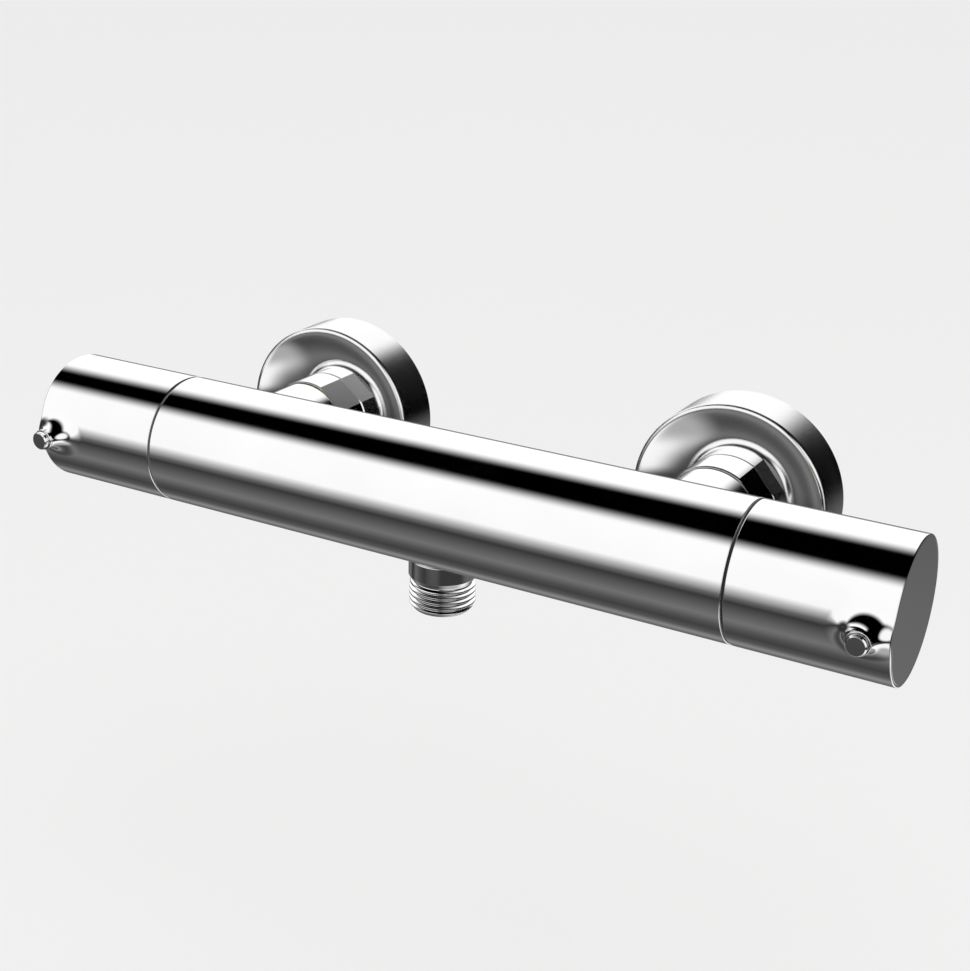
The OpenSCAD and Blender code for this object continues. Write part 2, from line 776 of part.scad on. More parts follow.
// Eccentric union: pipe thread to the nut in front, barrel, and a raised thread into the wall
module eccentric_union(side) {
    wall_r = half_inch_d / 2;
    tail_y = axis_out - union_shoulder;
    tail_end = axis_out + wall_thread_len;
    turns = floor((wall_thread_len - thread_nose) / pipe_pitch);
    color("goldenrod") at_inlet(side) difference() {
        union() {
            translate([0, washer_end, 0]) rotate([-90, 0, 0])
                cylinder(r = union_front_r, h = union_barrel_y - washer_end);
            translate([0, union_barrel_y, union_barrel_rise]) rotate([-90, 0, 0])
                cylinder(r = union_barrel_r, h = tail_y - union_barrel_y);
            translate([0, 0, union_offset]) turned_y(concat(
                [[0, tail_y], [wall_r - thread_depth, tail_y]],
                thread_points(wall_r, axis_out + thread_nose / 2, turns),
                [
                    [wall_r - thread_depth, tail_end - thread_nose],
                    [wall_r - thread_depth - thread_nose, tail_end], [0, tail_end],
                ]
            ));
        }
        translate([0, washer_end - over, 0]) rotate([-90, 0, 0])
            cylinder(d = union_front_bore_d, h = union_barrel_y + over - washer_end + over);
        translate([0, union_barrel_y - over, union_offset]) rotate([-90, 0, 0])
            cylinder(d = union_back_bore_d, h = tail_end - union_barrel_y + 2 * over);
    }
}
module eccentric_union_hot() { eccentric_union(-1); }
module eccentric_union_cold() { eccentric_union(1); }

// Rosette: threaded neck with wrench flats, dished front, thin wall back to the wall plane
module rosette(side, tilt) {
    neck = nut_r;
    fillet_x = neck + neck_fillet;
    dish_w = dish_r - fillet_x;
    hollow_r = rosette_r - rosette_wall;
    front = concat(
        [
            [nut_thread_r, neck_y], [neck - nut_bevel, neck_y],
            [neck, neck_y + nut_bevel],
        ],
        arc(fillet_x, dish_y - neck_fillet, neck_fillet, 180, 90),
        [for (i = [1 : 16]) let (a = 90 - 90 * i / 16)
            [fillet_x + dish_w * cos(a), rim_y + rim_bevel + (dish_depth - rim_bevel) * sin(a)]],
        [
            [dish_r + rim_bevel / 2, rim_y], [rosette_r - rim_bevel, rim_y],
            [rosette_r, rim_y + rim_bevel], [rosette_r, axis_out],
        ]
    );
    back = [
        [hollow_r, axis_out], [hollow_r, dish_y], [hollow_r - rosette_floor_t, floor_y],
        [nut_thread_r, floor_y],
    ];
    flat_end = dish_y - 0.3 * neck_fillet;
    color("silver") at_inlet(side) difference() {
        turned_y(concat(front, back));
        for (turn = [0, 180])
            rotate([0, -tilt - turn, 0])
                translate([flat_af / 2, neck_y - over, -neck])
                    intersection() {
                        cube([neck_fillet / 2, flat_end - neck_y + over, 2 * neck]);
                        translate([-flat_af / 2, 0, neck]) rotate([-90, 0, 0])
                            cylinder(r = neck + neck_fillet / 4, h = flat_end - neck_y + over);
                    }
    }
}
module rosette_hot() { rosette(-1, flat_tilt_hot); }
module rosette_cold() { rosette(1, flat_tilt_cold); }

// Pieces that both ends share, drawn at the temperature end

// Hexagon outside the body and the threaded part inside its mouth
module cartridge_head() {
    rod_x(mouth_r - thread_fit, mouth_end + 2 * slip, spigot_end);
    translate([spigot_end, 0, 0]) rotate([90, 0, 90])
        cylinder(r = hex_af / 2 / cos(30), h = hex_t, $fn = 6);
    rod_x(neck_r, hex_end, neck_end);
}

// Bearing, circlip groove and splined end of a spindle, from its inner end at x0
module spindle_shaft(x0) {
    clip_x = neck_end + face_play;
    difference() {
        union() {
            rod_x(spindle_r, x0, neck_end);
            rod_x(clip_groove_r, neck_end, clip_x + clip_t + face_play);
            translate([clip_x + clip_t + face_play, 0, 0]) rotate([90, 0, 90])
                linear_extrude(spindle_end - clip_x - clip_t - face_play)
                    polygon(spline_points(spline_n, spline_root_r, spline_tip_r));
        }
        rod_x(tapped_r, spindle_end - tapped_depth, spindle_end + over);
        for (x = seal_ring_xs)
            tube_x(
                spindle_bore_r - 2 * ring_fit - 2 * seal_ring_r, spindle_r + over,
                x - seal_ring_r - slip, x + seal_ring_r + slip
            );
    }
}

module spindle_o_rings() {
    color("dimgray")
        for (x = seal_ring_xs)
            o_ring_x(spindle_bore_r - ring_fit - seal_ring_r, seal_ring_r, x);
}

// Open circlip, with its gap at the bottom
module circlip() {
    clip_x = neck_end + face_play;
    color("gray") difference() {
        tube_x(clip_groove_r + thread_fit, clip_r, clip_x, clip_x + clip_t);
        translate([clip_x - over, -clip_t, -clip_r - over])
            cube([clip_t + 2 * over, 2 * clip_t, clip_r + over]);
    }
}

// Ring on the neck whose raised sector stops the adapter's lug
module stop_ring(centre, width) {
    color("ivory") {
        tube_x(neck_r + thread_fit, stop_in_r, hex_end, hex_end + stop_t);
        sector_x(stop_in_r - slip, stop_out_r, hex_end, hex_end + stop_t, centre, width);
    }
}

// Splined insert that turns with the handle and carries the moving lug
module adapter() {
    bore_x = neck_end + clip_t + 6 * slip;
    clip_room_x = neck_end + 3 * slip;
    color("whitesmoke") {
        difference() {
            turned_x([
                [0, adapter_x], [stop_out_r, adapter_x], [stop_out_r, adapter_flange_end],
                [adapter_r, adapter_flange_end], [adapter_r, adapter_end], [0, adapter_end],
            ]);
            rod_x(neck_r + 4 * slip, adapter_x - over, clip_room_x);
            rod_x(clip_r + 7 * slip, adapter_x - over, bore_x);
            translate([adapter_x, 0, 0]) rotate([90, 0, 90])
                linear_extrude(adapter_end - adapter_x + over)
                    polygon(spline_points(
                        spline_n, spline_root_r + thread_fit, spline_tip_r + thread_fit
                    ));
        }
        sector_x(
            stop_in_r + lug_clear, stop_out_r, hex_end + lug_clear, adapter_x + slip,
            lug_at, lug_w
        );
    }
}

module flare() {
    foot_r = flare_neck_r + flare_r;
    rotate_extrude() polygon(concat(
        [[0, boss_foot], [foot_r + flare_r / 2, boss_foot], [foot_r + flare_r / 2, flare_foot - flare_r / 2]],
        arc(foot_r, flare_foot + flare_r, flare_r, 270, 180),
        [[flare_neck_r, pin_seat], [0, pin_seat]]
    ));
}

// Handle: skirt, web with its hub, and the flare that carries the lever pin
module handle_shell() {
    color("silver") difference() {
        union() {
            turned_x([
                [shell_in_r, handle_start], [bar_r - seam_bevel, handle_start],
                [bar_r, handle_start + seam_bevel], [bar_r, half_len - cap_bevel],
                [bar_r - cap_bevel, half_len], [cap_seat_r, half_len],
                [cap_seat_r, cap_x], [shell_in_r, cap_x],
                [shell_in_r, web_x + web_t], [hub_r, web_x + web_t], [hub_r, hub_end],
                [screw_hole_r, hub_end], [screw_hole_r, hub_floor_x],
                [hub_bore_r, hub_floor_x], [hub_bore_r, web_x], [shell_in_r, web_x],
            ]);
            intersection() {
                at_lever() flare();
                union() {
                    tube_x(bar_r - cap_edge / 2, 2 * bar_r, web_x, half_len);
                    at_lever() cylinder(r = boss_r, h = 2 * bar_r);
                }
            }
        }
        at_lever() translate([0, 0, boss_foot - over])
            cylinder(r = pin_stud_r + thread_fit, h = pin_seat - boss_foot + 2 * over);
    }
}

module lever_pin() {
    head = pin_head_d / 2;
    collar = pin_collar_d / 2;
    groove_z = pin_tip - pin_head_len;
    collar_top = groove_z - pin_groove_len;
    color("silver") at_lever() rotate_extrude() polygon([
        [0, pin_foot], [pin_stud_r, pin_foot], [pin_stud_r, pin_seat],
        [collar - pin_bevel / 2, pin_seat], [collar, pin_seat + pin_bevel / 2],
        [collar, collar_top - pin_bevel / 2], [collar - pin_bevel / 2, collar_top],
        [pin_groove_r, collar_top], [pin_groove_r, groove_z],
        [head, groove_z], [head, pin_tip - pin_bevel], [head - pin_bevel, pin_tip], [0, pin_tip],
    ]);
}

// Screw through the hub's floor into the spindle
module handle_screw() {
    color("gray") difference() {
        union() {
            rod_x(screw_r, spindle_end - screw_engage, hub_end);
            rod_x(screw_head_r, hub_end, hub_end + screw_head_t);
        }
        translate([hub_end + screw_head_t / 3, 0, 0]) rotate([90, 0, 90])
            cylinder(r = screw_socket_af / 2 / cos(30), h = screw_head_t, $fn = 6);
    }
}

// Flat end cap, let into the handle's end over the screw
module end_cap() {
    plug_r = shell_in_r - thread_fit;
    cap_r = cap_seat_r - thread_fit;
    color("silver") difference() {
        turned_x([
            [0, cap_x], [plug_r - cap_plug_wall, cap_x],
            [plug_r - cap_plug_wall, cap_x - cap_plug_len],
            [plug_r, cap_x - cap_plug_len], [plug_r, cap_x], [cap_r, cap_x],
            [cap_r, half_len - cap_seam_bevel], [cap_r - cap_seam_bevel, half_len], [0, half_len],
        ]);
        intersection() {
            at_lever() cylinder(r = boss_r + 3 * slip, h = bar_r);
            rod_x(bar_r, cap_x - cap_plug_len - over, cap_x);
        }
    }
}

// Flow end

// Housing of the headwork: barrel for the discs, thread, hexagon and neck
module headwork_housing() {
    color("goldenrod") flow_end() difference() {
        union() {
            cartridge_head();
            rod_x(headwork_r, headwork_x, mouth_end + over);
        }
        rod_x(headwork_in_r, headwork_x - over, shoulder_x - 2 * slip);
        rod_x(shoulder_r + 2 * slip, headwork_x, shoulder_x + shoulder_t + face_play);
        rod_x(spindle_bore_r, headwork_x, neck_end + over);
        for (turn = [45, 135])
            rotate([turn, 0, 0])
                translate([headwork_window_x, -window_side / 2, -headwork_bore_r])
                    cube([headwork_window_w, window_side, 2 * headwork_bore_r]);
    }
}

module headwork_o_ring() {
    color("dimgray") flow_end()
        o_ring_x(
            (mouth_r + face_recess_r) / 2 - ring_fit, face_ring_r,
            spigot_end - face_recess_depth / 2
        );
}

module headwork_seal() {
    color("dimgray") flow_end()
        tube_x(headwork_seal_in_r, disc_r, seat_x, fixed_disc_x);
}

// Ceramic disc with two ports, centred on a direction and its opposite
module ported_disc(r, x0, direction) {
    difference() {
        rod_x(r, x0, x0 + disc_t);
        for (turn = [0, 180])
            sector_x(
                disc_port_in_r, disc_port_out_r, x0 - over, x0 + disc_t + over,
                direction + turn, disc_port_w
            );
    }
}

module fixed_disc() {
    color("snow") flow_end() ported_disc(disc_r, fixed_disc_x, 0);
}

// Moving disc, shut at rest: its ports lie between those of the fixed one
module moving_disc() {
    color("whitesmoke") flow_end() difference() {
        ported_disc(disc_r - slip, moving_disc_x, flow_turn);
        translate([
            disc_back_x - tongue_depth - run_fit,
            -tongue_w / 2 - run_fit, -tongue_len / 2 - run_fit
        ])
            cube([tongue_depth + over, tongue_w + 2 * run_fit, tongue_len + 2 * run_fit]);
    }
}

module flow_spindle() {
    color("darkkhaki") flow_end() {
        spindle_shaft(shoulder_x + shoulder_t);
        rod_x(shoulder_r, shoulder_x, shoulder_x + shoulder_t);
        rod_x(drive_r, disc_back_x, shoulder_x);
        intersection() {
            rod_x(disc_port_out_r, disc_back_x - tongue_depth, shoulder_x);
            translate([disc_back_x - tongue_depth, -tongue_w / 2, -tongue_len / 2])
                cube([tongue_depth + drive_r / 4, tongue_w, tongue_len]);
        }
    }
}

module flow_spindle_o_rings() { flow_end() spindle_o_rings(); }
module flow_circlip() { flow_end() circlip(); }

// The flow handle's lug turns from its rest towards +Z and +Y
module flow_stop_ring() {
    flow_end() stop_ring(lug_at - flow_turn / 2 + 180, 360 - flow_turn - lug_w - 2 * lug_play);
}

module flow_adapter() { flow_end() adapter(); }
module flow_handle() { flow_end() handle_shell(); }
module flow_lever_pin() { flow_end() lever_pin(); }
module flow_screw() { flow_end() handle_screw(); }
module flow_end_cap() { flow_end() end_cap(); }

// Temperature end

// Housing of the thermostat: mixing bore with hot and cold windows, thread, hexagon and neck
module thermostat_housing() {
    ring_groove = 2 * cord_r + 2 * ring_fit;
    color("goldenrod") on_bar() difference() {
        union() {
            cartridge_head();
            rod_x(cart_hot_r, cart_start, cart_land_x + over);
            rod_x(cart_cold_r, cart_land_x, mouth_end - slip);
            rod_x(cart_hot_r, mouth_end - over, mouth_end + over);
        }
        rod_x(passage_r, cart_start - over, cart_start + cart_lip_t + over);
        rod_x(shuttle_bore_r, cart_start + cart_lip_t, regulator_x);
        rod_x(regulator_bore_r, regulator_x - over, spindle_seat_x);
        rod_x(spindle_bore_r, spindle_seat_x - over, neck_end + over);
        translate([regulator_x - over, -regulator_ear_w / 2 - slip, -regulator_ear_r - 2 * slip])
            cube([
                regulator_nut_len + 3 * over, regulator_ear_w + 2 * slip,
                2 * regulator_ear_r + 4 * slip
            ]);
        for (x = [hot_window_x, cold_window_x], turn = [0, 90])
            rotate([turn, 0, 0])
                translate([x - window_w / 2, -window_side / 2, -cold_land_r])
                    cube([window_w, window_side, 2 * cold_land_r]);
        for (x = [ring_b_x, ring_c_x])
            tube_x(hot_land_r - ring_groove, hot_land_r, x - cord_r - slip, x + cord_r + slip);
        tube_x(
            cold_land_r - ring_groove, cold_land_r,
            ring_a_x - cord_r - slip, ring_a_x + cord_r + slip
        );
    }
}

// Three O-rings: against the thread, between cold and hot, between hot and mixed
module thermostat_o_rings() {
    color("dimgray") on_bar() {
        o_ring_x(cold_land_r - ring_fit - cord_r, cord_r, ring_a_x);
        o_ring_x(hot_land_r - ring_fit - cord_r, cord_r, ring_b_x);
        o_ring_x(hot_land_r - ring_fit - cord_r, cord_r, ring_c_x);
    }
}

module temperature_spindle() {
    color("darkkhaki") on_bar() {
        spindle_shaft(spindle_collar_x + spindle_collar_t);
        rod_x(spindle_collar_r, spindle_collar_x, spindle_collar_x + spindle_collar_t);
        rod_x(regulator_thread_r, thread_end_x, spindle_collar_x);
    }
}

module temperature_spindle_o_rings() { on_bar() spindle_o_rings(); }
module temperature_circlip() { on_bar() circlip(); }

// The temperature handle's lug turns both ways from its rest
module temperature_stop_ring() {
    on_bar() stop_ring(
        lug_at + (hot_turn - cold_turn) / 2 + 180,
        360 - hot_turn - cold_turn - lug_w - 2 * lug_play
    );
}

module temperature_adapter() { on_bar() adapter(); }
module temperature_handle() { on_bar() handle_shell(); }
module temperature_lever_pin() { on_bar() lever_pin(); }
module temperature_screw() { on_bar() handle_screw(); }
module temperature_end_cap() { on_bar() end_cap(); }

// Nut that the spindle's thread moves along the bar; its ears keep it from turning
module regulator_nut() {
    color("khaki") on_bar() difference() {
        union() {
            rod_x(regulator_nut_r, regulator_nut_x, regulator_nut_x + regulator_nut_len);
            translate([
                regulator_nut_x + (regulator_nut_len - regulator_ear_len) / 2,
                -regulator_ear_w / 2, -regulator_ear_r
            ])
                cube([regulator_ear_len, regulator_ear_w, 2 * regulator_ear_r]);
        }
        rod_x(
            regulator_thread_r + run_fit, regulator_nut_x + regulator_floor_t,
            regulator_nut_x + regulator_nut_len + over
        );
    }
}

// Wax element: bulb in the mixed water, flange on the shuttle, guide and piston to the nut
module wax_element() {
    flange_x = shuttle_web_x + shuttle_web_t;
    piston_end = regulator_nut_x - run_fit;
    guide_end = piston_end - wax_piston_len;
    color("peru") on_bar() turned_x(concat(
        arc(0, flange_x - wax_bulb_len + wax_bulb_r, wax_bulb_r, 270, 360, 8),
        [
            [wax_bulb_r, flange_x], [wax_flange_r, flange_x],
            [wax_flange_r, flange_x + wax_flange_t], [wax_guide_r, flange_x + wax_flange_t],
            [wax_guide_r, guide_end], [wax_piston_r, guide_end],
            [wax_piston_r, piston_end], [0, piston_end],
        ]
    ));
}

// Shuttle: a sleeve whose two ends throttle hot and cold, with a pierced web
module shuttle() {
    in_r = shuttle_r - shuttle_wall;
    x0 = mid_x - shuttle_len / 2;
    x1 = mid_x + shuttle_len / 2;
    web_end = shuttle_web_x + shuttle_web_t;
    hole_r = wax_bulb_r + slip;
    color("white") on_bar() difference() {
        turned_x([
            [in_r, x0], [shuttle_r, x0], [shuttle_r, x1], [in_r, x1],
            [in_r, web_end], [hole_r, web_end], [hole_r, shuttle_web_x], [in_r, shuttle_web_x],
        ]);
        for (i = [0 : shuttle_holes - 1])
            rotate([360 * i / shuttle_holes, 0, 0])
                translate([shuttle_web_x - over, 0, (in_r + wax_flange_r) / 2])
                    rotate([90, 0, 90])
                        cylinder(r = shuttle_hole_r, h = shuttle_web_t + 2 * over, $fn = 24);
    }
}

module return_spring() {
    x0 = cart_start + cart_lip_t + coil_seat;
    x1 = shuttle_web_x - coil_seat;
    color("gainsboro") on_bar() translate([x0, 0, 0]) rotate([90, 0, 90])
        wound_spring(return_coils, return_coil_r, return_wire_r, x1 - x0);
}

valve_body();
outlet_nipple();
outlet_o_ring();
glide_ring_flow();
glide_ring_temperature();
inlet_nipple_hot();
inlet_nipple_cold();
check_housing_hot();
check_housing_cold();
check_poppet_hot();
check_poppet_cold();
check_spring_hot();
check_spring_cold();
filter_washer_hot();
filter_washer_cold();
strainer_hot();
strainer_cold();
union_nut_hot();
union_nut_cold();
eccentric_union_hot();
eccentric_union_cold();
rosette_hot();
rosette_cold();
headwork_housing();
headwork_o_ring();
headwork_seal();
fixed_disc();
moving_disc();
flow_spindle();
flow_spindle_o_rings();
flow_circlip();
flow_stop_ring();
flow_adapter();
flow_handle();
flow_lever_pin();
flow_screw();
flow_end_cap();
thermostat_housing();
thermostat_o_rings();
temperature_spindle();
temperature_spindle_o_rings();
temperature_circlip();
temperature_stop_ring();
temperature_adapter();
temperature_handle();
temperature_lever_pin();
temperature_screw();
temperature_end_cap();
regulator_nut();
wax_element();
shuttle();
return_spring();
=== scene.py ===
# Thermostatic shower valve: finished surfaces around the packed CAD model.
# Metres. X runs along the bar, +Z is up, the wall is y = 0 and the room lies towards -Y.

import json
import math

import bpy
import numpy as np
from bpy.props import FloatProperty, FloatVectorProperty, PointerProperty
from mathutils import Matrix, Vector

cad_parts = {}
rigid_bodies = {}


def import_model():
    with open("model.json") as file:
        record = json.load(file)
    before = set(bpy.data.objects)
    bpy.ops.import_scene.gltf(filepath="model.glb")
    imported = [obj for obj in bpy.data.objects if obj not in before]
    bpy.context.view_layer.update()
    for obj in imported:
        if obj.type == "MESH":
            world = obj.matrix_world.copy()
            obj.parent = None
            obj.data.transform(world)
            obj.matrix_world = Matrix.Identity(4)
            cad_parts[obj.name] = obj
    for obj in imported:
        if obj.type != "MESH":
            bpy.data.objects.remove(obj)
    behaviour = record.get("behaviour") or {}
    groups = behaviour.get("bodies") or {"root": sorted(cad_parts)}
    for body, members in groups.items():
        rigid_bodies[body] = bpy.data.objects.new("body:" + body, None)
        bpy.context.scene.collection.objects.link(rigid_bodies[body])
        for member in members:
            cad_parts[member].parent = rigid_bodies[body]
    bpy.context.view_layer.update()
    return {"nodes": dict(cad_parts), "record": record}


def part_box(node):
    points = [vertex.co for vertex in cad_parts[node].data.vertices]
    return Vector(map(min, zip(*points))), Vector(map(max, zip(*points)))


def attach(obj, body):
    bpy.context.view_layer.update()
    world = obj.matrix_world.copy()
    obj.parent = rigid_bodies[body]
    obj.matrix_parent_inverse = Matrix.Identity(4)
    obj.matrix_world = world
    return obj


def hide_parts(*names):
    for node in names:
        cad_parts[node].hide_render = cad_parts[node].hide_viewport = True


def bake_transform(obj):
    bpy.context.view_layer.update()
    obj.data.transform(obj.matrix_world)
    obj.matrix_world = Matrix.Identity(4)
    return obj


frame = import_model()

bl_info = {
    "name": "Thermostatic Shower Valve",
    "version": (1, 0, 0),
    "blender": (4, 5, 0),
    "location": "View3D > Sidebar > Shower Valve",
    "description": "Builds the chromed pieces of an exposed shower valve around its CAD frame",
    "category": "Add Mesh",
}

MM = 0.001
WELD = 1e-6          # points closer than this are one vertex
WELD_SHIFT = 0.37    # keeps round sizes off the edges between two welding cells
TINY = 1e-12         # stands in for a length or a sine of nothing
SLOPE_STEP = 1e-5    # step either way by which a slope is taken
ARC_STEP = math.radians(11)     # longest step round an arc
BAR_SIDES = 192      # sides of the bar; ports take whole numbers of them
SMALL_SIDES = 128    # sides of nuts, rosettes and pins
ENDS = {"flow": -1, "temperature": 1}
INLETS = {"hot": -1, "cold": 1}
X, Y, Z = np.eye(3)


def cad_sizes():
    """Sizes that come from the CAD nodes' own boxes."""
    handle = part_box("temperature_handle")
    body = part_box("valve_body")
    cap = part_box("temperature_end_cap")
    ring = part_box("glide_ring_temperature")
    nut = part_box("union_nut_cold")
    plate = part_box("rosette_cold")
    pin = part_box("temperature_lever_pin")
    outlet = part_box("outlet_nipple")
    axis_y = (cap[0].y + cap[1].y) / 2
    return {
        "axis_y": axis_y,
        "bar_r": handle[1].z,
        "body_end": ring[0].x,
        "spigot_end": body[1].x,
        "handle_start": handle[0].x,
        "handle_end": handle[1].x,
        "cap_r": cap[1].z,
        "inlet_x": (plate[0].x + plate[1].x) / 2,
        "nut_front": nut[0].y - axis_y,
        "nut_back": nut[1].y - axis_y,
        "rim_y": plate[0].y - axis_y,
        "plate_r": plate[1].z,
        "pin_x": (pin[0].x + pin[1].x) / 2,
        "pin_tip": axis_y - pin[0].y,
        "outlet_end": -outlet[0].z,
    }


CAD = cad_sizes()


def size(name, description, millimetres):
    """A length property, written here in millimetres."""
    return FloatProperty(
        name=name, description=description, default=millimetres * MM,
        min=0.0, unit="LENGTH", subtype="DISTANCE", precision=5,
    )


def measured(name, description, key):
    """A length property whose default is measured on the CAD model."""
    return FloatProperty(
        name=name, description=description, default=CAD[key],
        unit="LENGTH", subtype="DISTANCE", precision=5,
    )


class VALVE_PG_bar(bpy.types.PropertyGroup):
    """Sizes of the body and its inlets"""

    bar_r: measured("Bar radius", "Radius of the body and the handles", "bar_r")
    body_end: measured("Body end", "Distance from the middle to a seam", "body_end")
    spigot_end: measured("Spigot end", "End of the body inside a handle", "spigot_end")
    inlet_x: measured("Inlet", "Distance from the middle to an inlet", "inlet_x")
    edge_round: size("Seam edge", "Rounding of the edges at a seam", 0.3)
    stub_r: size("Stub radius", "Radius of an inlet stub", 15.5)
    stub_end: size("Stub end", "Distance from the bar's axis to a stub's end", 32)
    stub_round: size("Stub edge", "Rounding of a stub's end", 0.4)
    stub_fillet: size("Stub fillet", "Fillet between a stub and the bar", 0.5)
    recess_r: size("Outlet recess", "Radius of the recess around the outlet", 11.4)
    recess_z: size("Recess floor", "Distance from the axis to the recess's floor", 18.5)


class VALVE_PG_handles(bpy.types.PropertyGroup):
    """Sizes of the handles, their caps and their lever pins"""

    start: measured("Handle start", "Where a handle begins at the seam", "handle_start")
    end: measured("Handle end", "Flat end of a handle", "handle_end")
    pin_x: measured("Pin place", "Distance from the middle to a lever pin", "pin_x")
    pin_tip: measured("Pin tip", "Distance from the bar's axis to a pin's tip", "pin_tip")
    cap_r: measured("Cap radius", "Radius of a handle's end cap", "cap_r")
    shell_r: size("Shell inside", "Inner radius of a handle's shell", 18.85)
    end_round: size("End edge", "Rounding around a handle's flat end", 0.35)
    flare_r: size("Flare radius", "Radius of the hollow flare around a pin", 7.8)
    flare_neck_r: size("Flare neck", "Radius that the flare's arcs run up to", 3.28)
    pin_head_r: size("Pin head", "Radius of a lever pin's head", 3)
    pin_groove_r: size("Pin groove", "Radius of the groove under the head", 2.4)
    pin_collar_r: size("Pin collar", "Radius of a lever pin's collar", 3.5)
    pin_head: size("Head length", "Length of a pin's head", 1.2)
    pin_groove: size("Groove length", "Width of the groove under the head", 0.6)
    pin_collar: size("Collar length", "Length of a pin's collar", 0.9)


class VALVE_PG_unions(bpy.types.PropertyGroup):
    """Sizes of the nuts, the rosettes, the eccentric unions and the outlet"""

    nut_front: measured("Nut front", "Front of a union nut", "nut_front")
    nut_back: measured("Nut back", "Back of a union nut", "nut_back")
    rim_y: measured("Rim", "Front of a rosette's rim", "rim_y")
    plate_r: measured("Rosette radius", "Radius of a rosette", "plate_r")
    outlet_end: measured("Outlet end", "Distance from the axis to the outlet's end", "outlet_end")
    nut_r: size("Nut radius", "Round outside of a nut and of a rosette's neck", 15.985)
    nut_bevel: size("Nut bevel", "Bevel around a nut's ends", 0.4)
    thread_r: size("Nut thread", "Mean radius of a nut's thread", 12.69)
    half_flat: size("Half flats", "Half the distance across the wrench flats", 14.985)
    hot_tilt: FloatProperty(
        name="Hot flats", description="Direction of the hot side's flats, from +X to +Z",
        default=math.radians(50), unit="ROTATION", subtype="ANGLE",
    )
    cold_tilt: FloatProperty(
        name="Cold flats", description="Direction of the cold side's flats, from +X to +Z",
        default=math.radians(40), unit="ROTATION", subtype="ANGLE",
    )
    neck_fillet: size("Neck fillet", "Fillet between a rosette's neck and its dish", 2.4)
    dish_depth: size("Dish depth", "Depth of a rosette's dish", 10)
    rim_width: size("Rim width", "Width of a rosette's rim", 1.6)
    collar_r: size("Outlet collar", "Radius of the outlet's collar", 10.8)
    crest_r: size("Half-inch crest", "Outside radius of a half-inch pipe thread", 10.4775)
    thread_depth: size("Thread depth", "Depth of a pipe thread", 1.162)
    pitch: size("Pitch", "Pitch of a pipe thread", 1.814)
    rise: size("Union offset", "How far a wall thread lies above its inlet", 7.5)


class VALVE_PG_look(bpy.types.PropertyGroup):
    """Colours, light and camera"""

    chrome: FloatVectorProperty(
        name="Chrome", description="Colour of the chrome plating",
        default=(0.86, 0.86, 0.865), min=0.0, max=1.0, subtype="COLOR",
    )
    brass: FloatVectorProperty(
        name="Brass", description="Colour of the bare brass inside",
        default=(0.72, 0.53, 0.27), min=0.0, max=1.0, subtype="COLOR",
    )
    floor: FloatVectorProperty(
        name="Floor", description="Colour of the pale floor",
        default=(0.8, 0.8, 0.79), min=0.0, max=1.0, subtype="COLOR",
    )
    floor_z: FloatProperty(
        name="Floor height", description="Height of the floor under the wall's origin",
        default=-0.2, unit="LENGTH", subtype="DISTANCE",
    )
    eye: FloatVectorProperty(
        name="Camera place", description="Where the camera stands",
        default=(0.234853, -0.458477, 0.181880), subtype="TRANSLATION", unit="LENGTH",
    )
    aim: FloatVectorProperty(
        name="Camera turn", description="Yaw, pitch down and roll of the camera",
        default=(0.5077, 0.3667, 0.0288), subtype="EULER", unit="ROTATION",
    )
    lens: FloatProperty(
        name="Lens", description="Focal length for a 36 mm wide picture",
        default=59.499, unit="CAMERA",
    )


# Surfaces as arrays


class Axis:
    """A line that surfaces turn around: a point is its origin plus a distance along it and a
    radius across it, in a direction given by an angle."""

    def __init__(self, origin, along, across, up):
        self.origin, self.along = np.array(origin, float), np.array(along, float)
        self.across, self.up = np.array(across, float), np.array(up, float)

    def vector(self, radius, distance, angle):
        radius, distance, angle = np.broadcast_arrays(radius, distance, angle)
        return (
            distance[..., None] * self.along
            + (radius * np.cos(angle))[..., None] * self.across
            + (radius * np.sin(angle))[..., None] * self.up
        )

    def point(self, radius, distance, angle):
        return self.origin + self.vector(radius, distance, angle)

    def plan(self, across, up, height):
        """A point given across the axis by two lengths, at a height along it."""
        across, up, height = np.broadcast_arrays(across, up, height)
        return (
            self.origin + height[..., None] * self.along
            + across[..., None] * self.across + up[..., None] * self.up
        )


def bar_axis(end=1):
    """The bar's own axis, walked towards one end."""
    return Axis((0, CAD["axis_y"], 0), end * X, Y, Z)


def inlet_axis(side, rise=0.0):
    """An inlet's axis, walked from the bar's middle towards the wall."""
    inlet_x = bpy.context.scene.valve_bar.inlet_x
    return Axis((side * inlet_x, CAD["axis_y"], rise), Y, X, Z)


def outlet_axis():
    """The outlet's axis, walked downwards from the bar's middle."""
    return Axis((0, CAD["axis_y"], 0), -Z, X, Y)


def pin_axis(end):
    """A lever pin's axis, walked forwards from the bar's middle."""
    pin_x = bpy.context.scene.valve_handles.pin_x
    return Axis((end * pin_x, CAD["axis_y"], 0), -Y, end * X, -Z)


